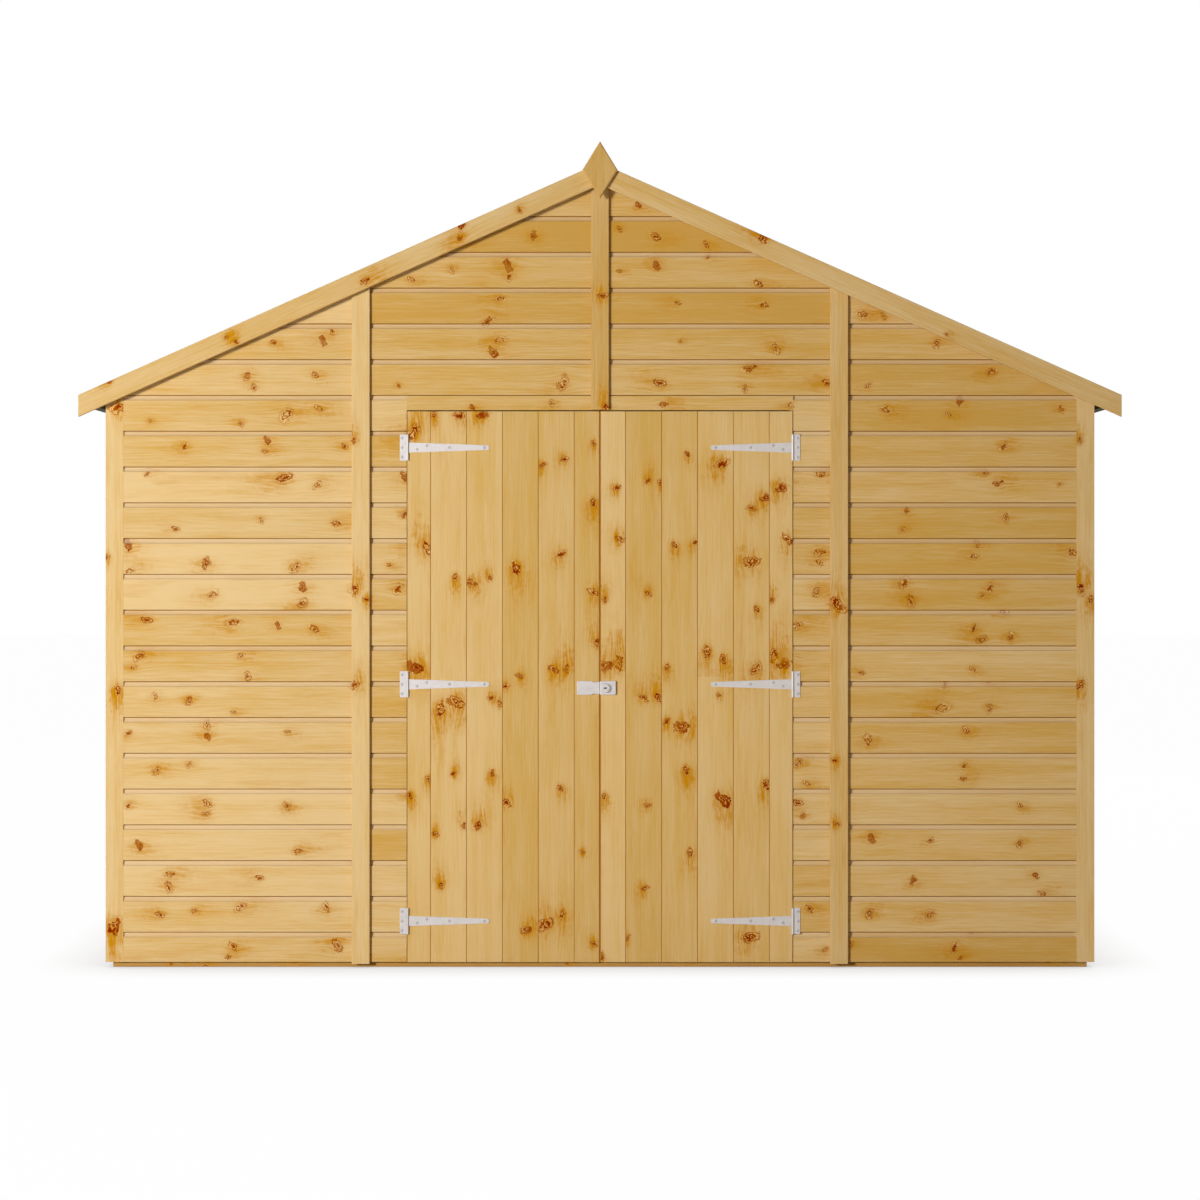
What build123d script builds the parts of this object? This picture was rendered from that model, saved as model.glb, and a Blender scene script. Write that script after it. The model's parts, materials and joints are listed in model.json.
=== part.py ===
"""A wooden garden shed with a ridged roof and a pair of doors in its front gable.

Millimetres. +Z is up, the front faces -Y, and the origin is on the ground under the middle of the shed.
"""

import os
from math import cos, radians, tan

from build123d import *

# Overall sizes
wall_width = 3000.0  # over the corner strips
wall_depth = 2400.0  # from the front cladding's face to the back cladding's face
wall_height = 1750.0  # ground to the top of the side cladding
roof_pitch = 24.0  # degrees

# Wall timbers
cladding_thick = 12.0
cladding_clear = 17.0  # ground to the lower edge of the cladding
frame_deep = 42.0  # framing timber, square to the wall
frame_wide = 28.0  # framing timber, along the wall
side_stud_count = 5
door_side_wide = 138.5  # front panel between a door and the next panel joint
strip_thick = 12.0
cover_strip_wide = 54.6
cover_strip_drop = 4.0  # how far a cover strip runs below the cladding

# Floor
bearer_count = 5
bearer_tall = 45.0
bearer_wide = 28.0
floor_thick = 12.0
floor_clear = 8.0  # between the edge of the floor and the cladding

# Doorway and doors
doorway_wide = 1173.0
head_below_eaves = 57.0  # top of the side cladding to the top of the doorway
door_gap = 5.0
door_post_wide = 42.0
head_tall = 42.0
ledge_tall = 70.0
ledge_thick = 20.0
ledge_inset = 35.0  # from the edge of a door to the end of its ledges
brace_wide = 60.0  # along the ledges

# Tee hinges
lower_hinge_inset = 125.0  # foot of a door to the middle of its lowest hinge
upper_hinge_inset = 110.0  # top of a door to the middle of its highest hinge
plate_tall = 79.0
plate_reach = 23.0  # hinge axis to the outer edge of the wall plate
leaf_thick = 2.5
knuckle_radius = 4.0
knuckle_gap = 0.3
pin_radius = 2.0
pin_clearance = 0.1
strap_long = 248.0  # hinge axis to the tip
strap_root_tall = 31.0
strap_tip_tall = 14.0

# Door lock
lock_below_hinge = 11.0  # middle hinge to the middle of the lock
lock_tall = 42.0
keeper_long = 67.0
keeper_waist_tall = 38.0  # keeper at the meeting edge of the doors
keeper_thick = 7.0
case_long = 45.5
case_thick = 9.0
cylinder_radius = 12.5
cylinder_stand = 12.0  # how far the cylinder stands out of the case
cylinder_share = 0.3  # of the case's length, from the meeting edge of the doors
lock_round = 2.0

# Roof
deck_thick = 12.0
felt_thick = 3.0
verge_overhang = 24.0  # deck past the front and back cladding
eaves_overhang = 68.0  # deck past the side cladding
eaves_batten_wide = 28.0
eaves_batten_deep = 12.5  # at its outer edge
ridge_felt_reach = 150.0  # ridge to the edge of the ridge felt, level
barge_wide = 60.0
barge_thick = 16.0
barge_past = 5.0  # barge boards past the felt at the eaves
finial_wide = 105.5
finial_tall = 172.0
finial_thick = 16.0
finial_chamfer = 3.0

# Roof timbers
purlin_wide = 28.0
purlin_deep = 45.0
purlin_shares = (0.34, 0.67)  # of the level run from the ridge to the side wall
ridge_board_thick = 28.0
rafter_deep = 45.0
rafter_thick = 28.0
collar_tall = 45.0
collar_drop = 437.0  # top of the barge boards at the ridge to the underside of the collar

# Places that several pieces share
half_width = wall_width / 2
front = -wall_depth / 2
wall_thick = cladding_thick + frame_deep
inner_half_width = half_width - wall_thick
frame_front = front + cladding_thick
frame_back = front + wall_thick
floor_top = bearer_tall + floor_thick
rail_top = floor_top + frame_wide
half_doorway = doorway_wide / 2
panel_joint = half_doorway + door_side_wide
doorway_head = wall_height - head_below_eaves
head_top = doorway_head + head_tall
door_top = doorway_head - door_gap
verge = front - verge_overhang
barge_front = verge - barge_thick
deck_end = half_width + eaves_overhang
felt_end = deck_end + felt_thick
barge_end = felt_end + barge_past
slope = tan(radians(roof_pitch))
square = cos(radians(roof_pitch))

# Layers of the roof, measured square to its slope from the top of the barge boards
felt_layer = felt_thick
deck_layer = felt_layer + felt_thick
deck_under = deck_layer + deck_thick
gable_rail_under = deck_under + frame_wide
purlin_under = deck_under + purlin_deep
rafter_under = purlin_under + rafter_deep
ridge_height = wall_height + slope * half_width + deck_under / square

# Hinges: their axes, and the heights of their middles
hinge_x = half_doorway - door_gap / 2
hinge_y = front - knuckle_radius
lower_hinge = cladding_clear + lower_hinge_inset
upper_hinge = door_top - upper_hinge_inset
middle_hinge = (lower_hinge + upper_hinge) / 2
hinge_heights = (lower_hinge, middle_hinge, upper_hinge)


def roof_z(x, layer):
    """Height of a layer of the roof at a distance x from the ridge."""
    return ridge_height - slope * abs(x) - layer / square


def block(x0, x1, y0, y1, z0, z1):
    """A square-cut timber or sheet between two corners."""
    middle = Pos((x0 + x1) / 2, (y0 + y1) / 2, (z0 + z1) / 2)
    return middle * Box(abs(x1 - x0), abs(y1 - y0), abs(z1 - z0))


def cut_out(points, y0, y1):
    """A sheet cut to an outline of (x, z) points, from y0 to y1."""
    outline = Polyline([(x, y0, z) for x, z in points], close=True)
    return extrude(make_face(outline), amount=y1 - y0, dir=(0, 1, 0))


def both_sides(piece):
    """A piece and its mirror image on the other side of the ridge."""
    return [piece, mirror(piece, about=Plane.YZ)]


def both_ends(piece):
    """A piece and its mirror image at the other end of the shed."""
    return [piece, mirror(piece, about=Plane.XZ)]


def under_roof(x0, x1, y0, y1, z0, layer):
    """An upright sheet or timber whose top is cut to the slope, on one side of the ridge."""
    outline = [(x0, z0), (x1, z0), (x1, roof_z(x1, layer)), (x0, roof_z(x0, layer))]
    return cut_out(outline, y0, y1)


def under_ridge(half, y0, y1, z0, layer):
    """An upright sheet or timber with a peaked top, centred under the ridge."""
    shoulder = roof_z(half, layer)
    outline = [(-half, z0), (half, z0), (half, shoulder), (0, roof_z(0, layer)), (-half, shoulder)]
    return cut_out(outline, y0, y1)


def along_slope(x0, x1, y0, y1, upper, lower):
    """A sheet or timber that follows the slope between two layers, with plumb-cut ends."""
    outline = [
        (x0, roof_z(x0, upper)),
        (x1, roof_z(x1, upper)),
        (x1, roof_z(x1, lower)),
        (x0, roof_z(x0, lower)),
    ]
    return cut_out(outline, y0, y1)


def floor_parts():
    """Bearers that run across the shed, and the floor laid on them."""
    half_x = half_width - cladding_thick - floor_clear
    half_y = wall_depth / 2 - cladding_thick - floor_clear
    spacing = (2 * half_y - bearer_wide) / (bearer_count - 1)
    bearers = []
    for i in range(bearer_count):
        y0 = -half_y + i * spacing
        bearers.append(block(-half_x, half_x, y0, y0 + bearer_wide, 0, bearer_tall))
    return {
        "floor_bearers": bearers,
        "floor_deck": [block(-half_x, half_x, -half_y, half_y, bearer_tall, floor_top)],
    }


def front_wall_parts():
    """Front panels beside and over the doorway, and the timbers behind them."""
    end, joint, opening = -inner_half_width, -panel_joint, -half_doorway
    outer_panel = under_roof(end, joint, front, frame_front, cladding_clear, deck_under)
    door_panel = block(joint, opening, front, frame_front, cladding_clear, doorway_head)
    half_post = frame_wide / 2
    studs = [under_ridge(half_post, frame_front, frame_back, head_top, deck_under)]
    for x0, x1 in (
        (end, end + frame_wide),
        (joint - half_post, joint + half_post),
        (opening - door_post_wide, opening),
    ):
        stud = under_roof(x0, x1, frame_front, frame_back, rail_top, gable_rail_under)
        studs += both_sides(stud)
    sole = block(end, opening, frame_front, frame_back, floor_top, rail_top)
    sloping = along_slope(end, -half_post, frame_front, frame_back, deck_under, gable_rail_under)
    head = block(opening, -opening, frame_front, frame_back, doorway_head, head_top)
    left_outer, right_outer = both_sides(outer_panel)
    left_door_side, right_door_side = both_sides(door_panel)
    return {
        "front_left_panel": [left_outer],
        "front_right_panel": [right_outer],
        "front_left_door_panel": [left_door_side],
        "front_right_door_panel": [right_door_side],
        "front_gable_panel": [under_ridge(panel_joint, front, frame_front, doorway_head, deck_under)],
        "front_wall_studs": studs,
        "front_wall_rails": [*both_sides(sole), *both_sides(sloping), head],
    }


def back_wall_parts():
    """The plain back gable and its framing."""
    half_post = frame_wide / 2
    panel = under_ridge(inner_half_width, -frame_front, -front, cladding_clear, deck_under)
    studs = [under_ridge(half_post, -frame_back, -frame_front, rail_top, deck_under)]
    for x0, x1 in (
        (-inner_half_width, -inner_half_width + frame_wide),
        (-panel_joint - half_post, -panel_joint + half_post),
    ):
        stud = under_roof(x0, x1, -frame_back, -frame_front, rail_top, gable_rail_under)
        studs += both_sides(stud)
    sole = block(
        -inner_half_width, inner_half_width, -frame_back, -frame_front, floor_top, rail_top
    )
    sloping = along_slope(
        -inner_half_width, -half_post, -frame_back, -frame_front, deck_under, gable_rail_under
    )
    return {
        "back_wall_panel": [panel],
        "back_wall_studs": studs,
        "back_wall_rails": [sole, *both_sides(sloping)],
    }


def side_wall_parts():
    """The two side walls, whose tops are planed to the slope of the roof."""
    skin = -half_width + cladding_thick
    panel = under_roof(-half_width, skin, frame_front, -frame_front, cladding_clear, deck_under)
    plate_under = roof_z(skin, deck_under) - frame_wide
    sole = block(skin, -inner_half_width, frame_front, -frame_front, floor_top, rail_top)
    top_plate = under_roof(
        skin, -inner_half_width, frame_front, -frame_front, plate_under, deck_under
    )
    spacing = (-2 * frame_front - frame_wide) / (side_stud_count - 1)
    studs = []
    for i in range(side_stud_count):
        y0 = frame_front + i * spacing
        studs += both_sides(
            block(skin, -inner_half_width, y0, y0 + frame_wide, rail_top, plate_under)
        )
    left, right = both_sides(panel)
    return {
        "left_wall_panel": [left],
        "right_wall_panel": [right],
        "side_wall_studs": studs,
        "side_wall_rails": [*both_sides(sole), *both_sides(top_plate)],
    }


def strip_parts():
    """Strips that cover the corners and the joints between the front panels."""
    corner = under_roof(
        -half_width, -inner_half_width, front, frame_front, cladding_clear, deck_under
    )
    half = cover_strip_wide / 2
    face = front - strip_thick
    cover = under_roof(
        -panel_joint - half,
        -panel_joint + half,
        face,
        front,
        cladding_clear - cover_strip_drop,
        deck_under,
    )
    corners = [piece for end in both_ends(corner) for piece in both_sides(end)]
    return {
        "corner_strips": corners,
        "panel_cover_strips": both_sides(cover),
        "gable_centre_strip": [under_ridge(half, face, front, doorway_head, deck_under)],
    }


def roof_frame_parts():
    """Ridge board, purlins, and one pair of rafters with a collar at mid length."""
    half_ridge = ridge_board_thick / 2
    ridge_under = roof_z(half_ridge, rafter_under)
    purlins = []
    for share in purlin_shares:
        x = -share * inner_half_width
        seat = (x, frame_back, roof_z(x, deck_under))
        level = Plane(seat, x_dir=(square, 0, slope * square), z_dir=(0, -1, 0))
        section = level * Rectangle(purlin_wide, purlin_deep, align=(Align.CENTER, Align.MAX))
        purlins += both_sides(extrude(section, amount=-2 * frame_back, dir=(0, 1, 0)))
    half_rafter = rafter_thick / 2
    rafter = along_slope(
        -inner_half_width, -half_ridge, -half_rafter, half_rafter, purlin_under, rafter_under
    )
    collar_foot = ridge_height - collar_drop
    collar_top = collar_foot + collar_tall
    reach_low, reach_high = (
        (ridge_height - purlin_under / square - z) / slope for z in (collar_foot, collar_top)
    )
    collar = cut_out(
        [
            (-reach_low, collar_foot),
            (reach_low, collar_foot),
            (reach_high, collar_top),
            (-reach_high, collar_top),
        ],
        half_rafter,
        half_rafter + rafter_thick,
    )
    return {
        "ridge_board": [under_ridge(half_ridge, frame_back, -frame_back, ridge_under, deck_under)],
        "roof_purlins": purlins,
        "truss_rafters": both_sides(rafter),
        "truss_collar": [collar],
    }


def roof_cover_parts():
    """Roof boards, eaves battens, and felt that turns down and under at the eaves."""
    deck = along_slope(-deck_end, 0, verge, -verge, deck_layer, deck_under)
    batten_foot = roof_z(deck_end, deck_under) - eaves_batten_deep
    drip = batten_foot - felt_thick
    batten_in = -deck_end + eaves_batten_wide
    batten = under_roof(-deck_end, batten_in, verge, -verge, batten_foot, deck_under)
    felt = cut_out(
        [
            (0, roof_z(0, felt_layer)),
            (-felt_end, roof_z(felt_end, felt_layer)),
            (-felt_end, drip),
            (batten_in, drip),
            (batten_in, batten_foot),
            (-deck_end, batten_foot),
            (-deck_end, roof_z(deck_end, deck_layer)),
            (0, roof_z(0, deck_layer)),
        ],
        verge,
        -verge,
    )
    ridge_felt = cut_out(
        [
            (0, roof_z(0, 0)),
            (ridge_felt_reach, roof_z(ridge_felt_reach, 0)),
            (ridge_felt_reach, roof_z(ridge_felt_reach, felt_layer)),
            (0, roof_z(0, felt_layer)),
            (-ridge_felt_reach, roof_z(ridge_felt_reach, felt_layer)),
            (-ridge_felt_reach, roof_z(ridge_felt_reach, 0)),
        ],
        verge,
        -verge,
    )
    left_deck, right_deck = both_sides(deck)
    left_felt, right_felt = both_sides(felt)
    return {
        "left_roof_deck": [left_deck],
        "right_roof_deck": [right_deck],
        "eaves_battens": both_sides(batten),
        "left_roof_felt": [left_felt],
        "right_roof_felt": [right_felt],
        "ridge_felt": [ridge_felt],
    }


def gable_trim_parts():
    """Barge boards on both gables, with a diamond finial over each joint."""
    barge = along_slope(-barge_end, 0, barge_front, verge, 0, barge_wide)
    (front_left, front_right), (back_left, back_right) = (
        both_sides(end) for end in both_ends(barge)
    )
    middle = roof_z(finial_wide / 2, 0)
    diamond = [
        (-finial_wide / 2, middle),
        (0, middle - finial_tall / 2),
        (finial_wide / 2, middle),
        (0, middle + finial_tall / 2),
    ]
    finial = cut_out(diamond, barge_front - finial_thick, barge_front)
    face = finial.faces().sort_by(Axis.Y)[0]
    finial = chamfer(face.edges(), finial_chamfer)
    return {
        "front_left_barge": [front_left],
        "front_right_barge": [front_right],
        "back_left_barge": [back_left],
        "back_right_barge": [back_right],
        "finials": both_ends(finial),
    }


def upright_cylinder(radius, x, y, z0, z1):
    """A round bar on a vertical axis."""
    return Pos(x, y, (z0 + z1) / 2) * Cylinder(radius, z1 - z0)


def hinge_plate(height):
    """Wall half of a left tee hinge: a plate with two knuckles, and the pin riveted in them."""
    low, high = height - plate_tall / 2, height + plate_tall / 2
    half_root = strap_root_tall / 2 + knuckle_gap
    edge = -hinge_x - knuckle_radius - knuckle_gap
    plate = block(-hinge_x - plate_reach, edge, front - leaf_thick, front, low, high)
    for z0, z1 in ((low, height - half_root), (height + half_root, high)):
        plate += block(edge, -hinge_x, front - leaf_thick, front, z0, z1)
        plate += upright_cylinder(knuckle_radius, -hinge_x, hinge_y, z0, z1)
    return plate + upright_cylinder(pin_radius, -hinge_x, hinge_y, low, high)


def hinge_strap(height):
    """Door half of a left tee hinge: a tapered strap with a round tip and one knuckle."""
    half_root, half_tip = strap_root_tall / 2, strap_tip_tall / 2
    tip_centre = strap_long - half_tip
    with BuildSketch(Plane((-hinge_x, front, height), x_dir=(1, 0, 0), z_dir=(0, -1, 0))) as outline:
        with BuildLine():
            upper = Line((0, half_root), (tip_centre, half_tip))
            RadiusArc(upper @ 1, (tip_centre, -half_tip), half_tip)
            Polyline((tip_centre, -half_tip), (0, -half_root), (0, half_root))
        make_face()
    strap = extrude(outline.sketch, amount=leaf_thick)
    low, high = height - half_root, height + half_root
    strap += upright_cylinder(knuckle_radius, -hinge_x, hinge_y, low, high)
    return strap - upright_cylinder(pin_radius + pin_clearance, -hinge_x, hinge_y, low, high)


def door_parts():
    """One pair of ledged and braced doors with their tee hinges."""
    hung, free = -hinge_x + door_gap / 2, -door_gap / 2
    boards = block(hung, free, front, frame_front, cladding_clear, door_top)
    ledge_back = frame_front + ledge_thick
    x0, x1 = hung + ledge_inset, free - ledge_inset
    half_ledge = ledge_tall / 2
    ledges = [
        block(x0, x1, frame_front, ledge_back, z - half_ledge, z + half_ledge)
        for z in hinge_heights
    ]
    braces = []
    for lower, upper in zip(hinge_heights, hinge_heights[1:]):
        foot, top = lower + half_ledge, upper - half_ledge
        outline = [(x0, foot), (x0 + brace_wide, foot), (x1, top), (x1 - brace_wide, top)]
        braces.append(cut_out(outline, frame_front, ledge_back))
    straps = [hinge_strap(z) for z in hinge_heights]
    parts = {"hinge_plates": [half for z in hinge_heights for half in both_sides(hinge_plate(z))]}
    for name, pieces in {
        "boards": [boards],
        "ledges": ledges,
        "braces": braces,
        "hinge_straps": straps,
    }.items():
        halves = [both_sides(piece) for piece in pieces]
        parts[f"left_door_{name}"] = [left for left, _ in halves]
        parts[f"right_door_{name}"] = [right for _, right in halves]
    return parts


def lock_parts():
    """A surface lock across the meeting edges: keeper on the left door, case on the right."""
    height = middle_hinge - lock_below_hinge
    edge, half, half_waist = door_gap / 2, lock_tall / 2, keeper_waist_tall / 2
    keeper_end = -edge - keeper_long
    tapered = [
        (keeper_end, height - half),
        (-edge, height - half_waist),
        (-edge, height + half_waist),
        (keeper_end, height + half),
    ]
    keeper = cut_out(tapered, front - keeper_thick, front)
    keeper = fillet(keeper.faces().sort_by(Axis.Y)[0].edges(), lock_round)
    case_face = front - case_thick
    case = block(edge, edge + case_long, case_face, front, height - half, height + half)
    case = fillet(case.faces().sort_by(Axis.Y)[0].edges(), lock_round)
    middle = Plane((edge + cylinder_share * case_long, case_face, height), z_dir=(0, -1, 0))
    cylinder = extrude(middle * Circle(cylinder_radius), amount=cylinder_stand)
    cylinder = fillet(cylinder.edges().sort_by(Axis.Y)[0], lock_round)
    return {"lock_keeper": [keeper], "lock_case": [case + cylinder]}


def main():
    """Writes one STEP file for each named piece of the shed."""
    os.makedirs("parts", exist_ok=True)
    sections = (
        floor_parts,
        front_wall_parts,
        back_wall_parts,
        side_wall_parts,
        strip_parts,
        roof_frame_parts,
        roof_cover_parts,
        gable_trim_parts,
        door_parts,
        lock_parts,
    )
    for section in sections:
        for name, pieces in section().items():
            solids = [solid for piece in pieces for solid in piece.solids()]
            shape = solids[0] if len(solids) == 1 else Compound(children=solids)
            export_step(shape, f"parts/{name}.step")


main()
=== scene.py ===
# %% [markdown]
# # A pine garden shed
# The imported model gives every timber, sheet and hinge its size and place. This lesson dresses it: single
# boards with their machined joints, knotty pine, mineral felt, zinc hinges and the studio around them. All
# new pieces are worked out as numpy arrays in metres, in the frame's own coordinates: +X right, +Y to the
# back, +Z up.

# %% Load the frame
import json
import math

import bmesh
import bpy
import numpy as np
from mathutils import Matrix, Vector


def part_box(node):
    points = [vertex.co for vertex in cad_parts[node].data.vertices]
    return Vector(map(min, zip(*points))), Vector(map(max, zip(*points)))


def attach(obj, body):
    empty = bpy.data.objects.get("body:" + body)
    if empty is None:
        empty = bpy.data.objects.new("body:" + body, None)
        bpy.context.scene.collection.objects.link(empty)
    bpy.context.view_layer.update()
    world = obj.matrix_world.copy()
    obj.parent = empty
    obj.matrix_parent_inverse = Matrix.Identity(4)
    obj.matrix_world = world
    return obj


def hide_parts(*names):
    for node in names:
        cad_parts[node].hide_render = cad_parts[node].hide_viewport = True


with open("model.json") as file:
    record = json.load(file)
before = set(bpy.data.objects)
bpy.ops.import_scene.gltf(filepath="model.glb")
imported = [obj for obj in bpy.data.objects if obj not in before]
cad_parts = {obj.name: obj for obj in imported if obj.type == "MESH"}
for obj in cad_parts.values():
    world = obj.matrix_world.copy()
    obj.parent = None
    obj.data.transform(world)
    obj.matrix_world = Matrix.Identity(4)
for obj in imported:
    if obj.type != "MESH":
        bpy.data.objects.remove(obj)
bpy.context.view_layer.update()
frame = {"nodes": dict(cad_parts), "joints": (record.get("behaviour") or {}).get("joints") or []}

MM = 0.001
X, Y, Z = np.eye(3)
SIDES = (("left", -1), ("right", 1))

# %% [markdown]
# ## Lines that several pieces share
# A shed is set out from a few lines: the faces of the walls, the slope of the roof and the doorway. They
# could be typed again here, but reading them from the frame's boxes keeps the dressing on the timbers if a
# size changes.

# %% Set out the main lines
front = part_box("front_left_panel")[0].y
half_width = -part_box("left_wall_panel")[0].x
inner_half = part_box("front_right_panel")[1].x
panel_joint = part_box("front_right_panel")[0].x
half_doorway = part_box("front_right_door_panel")[0].x
cladding_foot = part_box("front_left_panel")[0].z
cladding_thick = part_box("front_left_panel")[1].y - front
doorway_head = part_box("front_gable_panel")[0].z
ridge_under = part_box("front_gable_panel")[1].z
slope = (ridge_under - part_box("corner_strips")[1].z) / inner_half
pitch = math.atan(slope)


def roof_under(x):
    """Height of the underside of the roof boards: a straight fall on both sides of the ridge."""
    return ridge_under - slope * np.abs(x)


print(f"front at y {front:.3f} m, doorway {2 * half_doorway:.3f} m, pitch {math.degrees(pitch):.1f} degrees")

# %% [markdown]
# ## From arrays to a mesh
# Each piece is many closed prisms: a section carried along a path. Blender could extrude and array them one
# by one, but one array of points with the axes board, station and section gives the same faces at once, and
# keeps track of which board a face belongs to, which the grain needs later.

# %% Carry sections along boards
def prism_faces(boards, stations, section):
    """Quads between neighbouring stations round a closed section, and one cap at each end of every
    board."""
    b, s, p = np.meshgrid(np.arange(boards), np.arange(stations - 1), np.arange(section), indexing="ij")
    base = (b * stations + s) * section
    after = (p + 1) % section
    quads = np.stack([base + p, base + after, base + section + after, base + section + p], -1).reshape(-1, 4)
    rim = np.arange(section)
    first = np.arange(boards)[:, None] * stations * section
    last = first + (stations - 1) * section
    return quads.tolist() + (first + rim[::-1]).tolist() + (last + rim).tolist()


# %% Turn the faces outwards
def vertex_places(mesh):
    """All vertex positions of a mesh as one array."""
    places = np.empty(len(mesh.vertices) * 3)
    mesh.vertices.foreach_get("co", places)
    return places.reshape(-1, 3)


def triangle_corners(mesh):
    """Vertex numbers of a mesh's triangles, three after three."""
    mesh.calc_loop_triangles()
    corners = np.empty(len(mesh.loop_triangles) * 3, np.int32)
    mesh.loop_triangles.foreach_get("vertices", corners)
    return corners


def closed_mesh(name, points):
    """A mesh of closed prisms from points[board, station, section, xyz]. The sum of the triple products of
    its triangles' corners is six times the volume inside; where that is negative, the faces are turned
    outwards."""
    boards, stations, section, _ = points.shape
    mesh = bpy.data.meshes.new(name)
    mesh.from_pydata(points.reshape(-1, 3), [], prism_faces(boards, stations, section))
    a, b, c = vertex_places(mesh)[triangle_corners(mesh)].reshape(-1, 3, 3).transpose(1, 0, 2)
    if (a * np.cross(b, c)).sum() < 0:
        mesh.flip_normals()
    return mesh


# %% Put a piece into the scene
WELD = 0.001 * MM


def drop_flat_faces(mesh):
    """Welds points that lie on each other along an edge, so that no face without area is left."""
    work = bmesh.new()
    work.from_mesh(mesh)
    bmesh.ops.dissolve_degenerate(work, dist=WELD, edges=work.edges)
    work.to_mesh(mesh)
    work.free()


def dress(name, mesh, material, body="shed", nodes=()):
    """Puts a mesh into the scene as a piece that rides on a body and stands for the CAD nodes given. Its
    one slot holds the finish."""
    piece = bpy.data.objects.new(name, mesh)
    bpy.context.scene.collection.objects.link(piece)
    mesh.materials.append(material)
    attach(piece, body)
    if nodes:
        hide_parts(*nodes)
    print(f"{name}: {len(mesh.polygons)} faces on {body}")


# %% [markdown]
# ## Grain and knots as layers on the mesh
# A knot is a branch that grew through the board, so it shows on both faces at one place and the grain flows
# round it. A shader can't know where a branch was. So each face stores, corner by corner, how far it lies
# from its two nearest knots on the same board. Those offsets are straight lines in space, so they stay
# exact inside a face.

# %% Strew knots over boards
KNOT_SPACING = 0.55
SMALL_KNOT, KNOT_SPREAD = 4 * MM, 9 * MM
FAR_KNOT = (50.0, 50.0, 0.001, 0.5)
OTHER_BOARD = 100.0
KNOT_LAYERS = ("knot_a", "knot_b")
dice = np.random.default_rng(24)


def unit(rows):
    """Directions of length one: each row over its own length."""
    return rows / np.linalg.norm(rows, axis=-1, keepdims=True)


def per_board(way, boards):
    """One direction for all boards, or one for each, as an array of unit rows."""
    return unit(np.broadcast_to(np.asarray(way, float), (boards, 3)))


def random_knots(low, high, spacing):
    """About one knot in each stretch of spacing, anywhere on its board; a power of chance makes small ones
    common."""
    counts = dice.poisson((high - low)[:, 0] / spacing)
    board = np.repeat(np.arange(len(low)), counts)
    at = low[board] + dice.random((len(board), 2)) * (high - low)[board]
    radius = SMALL_KNOT + KNOT_SPREAD * dice.random(len(board)) ** 2.2
    return np.column_stack([at, radius])


# %% Store the layers
def add_layer(mesh, name, kind, domain, values):
    """One named layer of vectors or of four numbers."""
    layer = mesh.attributes.new(name, kind, domain)
    layer.data.foreach_set("color" if kind == "FLOAT_COLOR" else "vector", values.astype(np.float32).ravel())


def knot_layers(mesh, st, board, low, high, knots):
    """For each face, its two nearest knots on the same board: the offset of each corner, the radius and a
    random number. A knot on another board counts as far away."""
    knots = np.column_stack([knots, dice.random(len(knots))])
    knots = np.vstack([knots, FAR_KNOT, FAR_KNOT])
    inside = ((knots[:, :2] > low[:, None]) & (knots[:, :2] < high[:, None])).all(2)
    vertex = np.empty(len(mesh.loops), np.int32)
    mesh.loops.foreach_get("vertex_index", vertex)
    totals = np.empty(len(mesh.polygons), np.int32)
    mesh.polygons.foreach_get("loop_total", totals)
    starts = np.concatenate([[0], np.cumsum(totals)[:-1]])
    middle = np.add.reduceat(st[vertex], starts) / totals[:, None]
    gap = np.linalg.norm(middle[:, None] - knots[None, :, :2], axis=2)
    gap[~inside[board[vertex[starts]]]] += OTHER_BOARD
    nearest = np.argpartition(gap, 1, axis=1)[:, :2]
    for layer, pick in zip(KNOT_LAYERS, nearest.T):
        chosen = knots[np.repeat(pick, totals)]
        offset = st[vertex] - chosen[:, :2]
        add_layer(mesh, layer, "FLOAT_COLOR", "CORNER", np.column_stack([offset, chosen[:, 2:]]))


def grain_layers(mesh, boards, along, across, knots=None, depth=None, spacing=KNOT_SPACING, tone=0.0,
                 tones=None):
    """grain: distance along and across the board, and depth under its face. board: a tone and two random
    numbers for each board. knot_a and knot_b: the nearest knots, strewn at random where none are given."""
    places = vertex_places(mesh)
    board = np.repeat(np.arange(boards), len(places) // boards)
    along, across = per_board(along, boards), per_board(across, boards)
    st = np.column_stack([(places * along[board]).sum(1), (places * across[board]).sum(1)])
    under = np.zeros(len(st)) if depth is None else depth.ravel()
    add_layer(mesh, "grain", "FLOAT_VECTOR", "POINT", np.column_stack([st, under]))
    chance = dice.random((boards, 3)) + (tone, 0, 0)
    if tones is not None:
        chance[:, 0] = tones
    add_layer(mesh, "board", "FLOAT_VECTOR", "POINT", chance[board])
    low, high = st.reshape(boards, -1, 2).min(1), st.reshape(boards, -1, 2).max(1)
    if knots is None:
        knots = random_knots(low, high, spacing)
    knot_layers(mesh, st, board, low, high, np.asarray(knots, float).reshape(-1, 3))


# %% [markdown]
# ## Shader maths that reads like a sum
# A material is a web of nodes, and linking them one at a time hides the formula. This class wraps one
# socket, so that a sum or product of two wires adds the Math node by itself and the finish below can be
# written as an expression.

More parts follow.
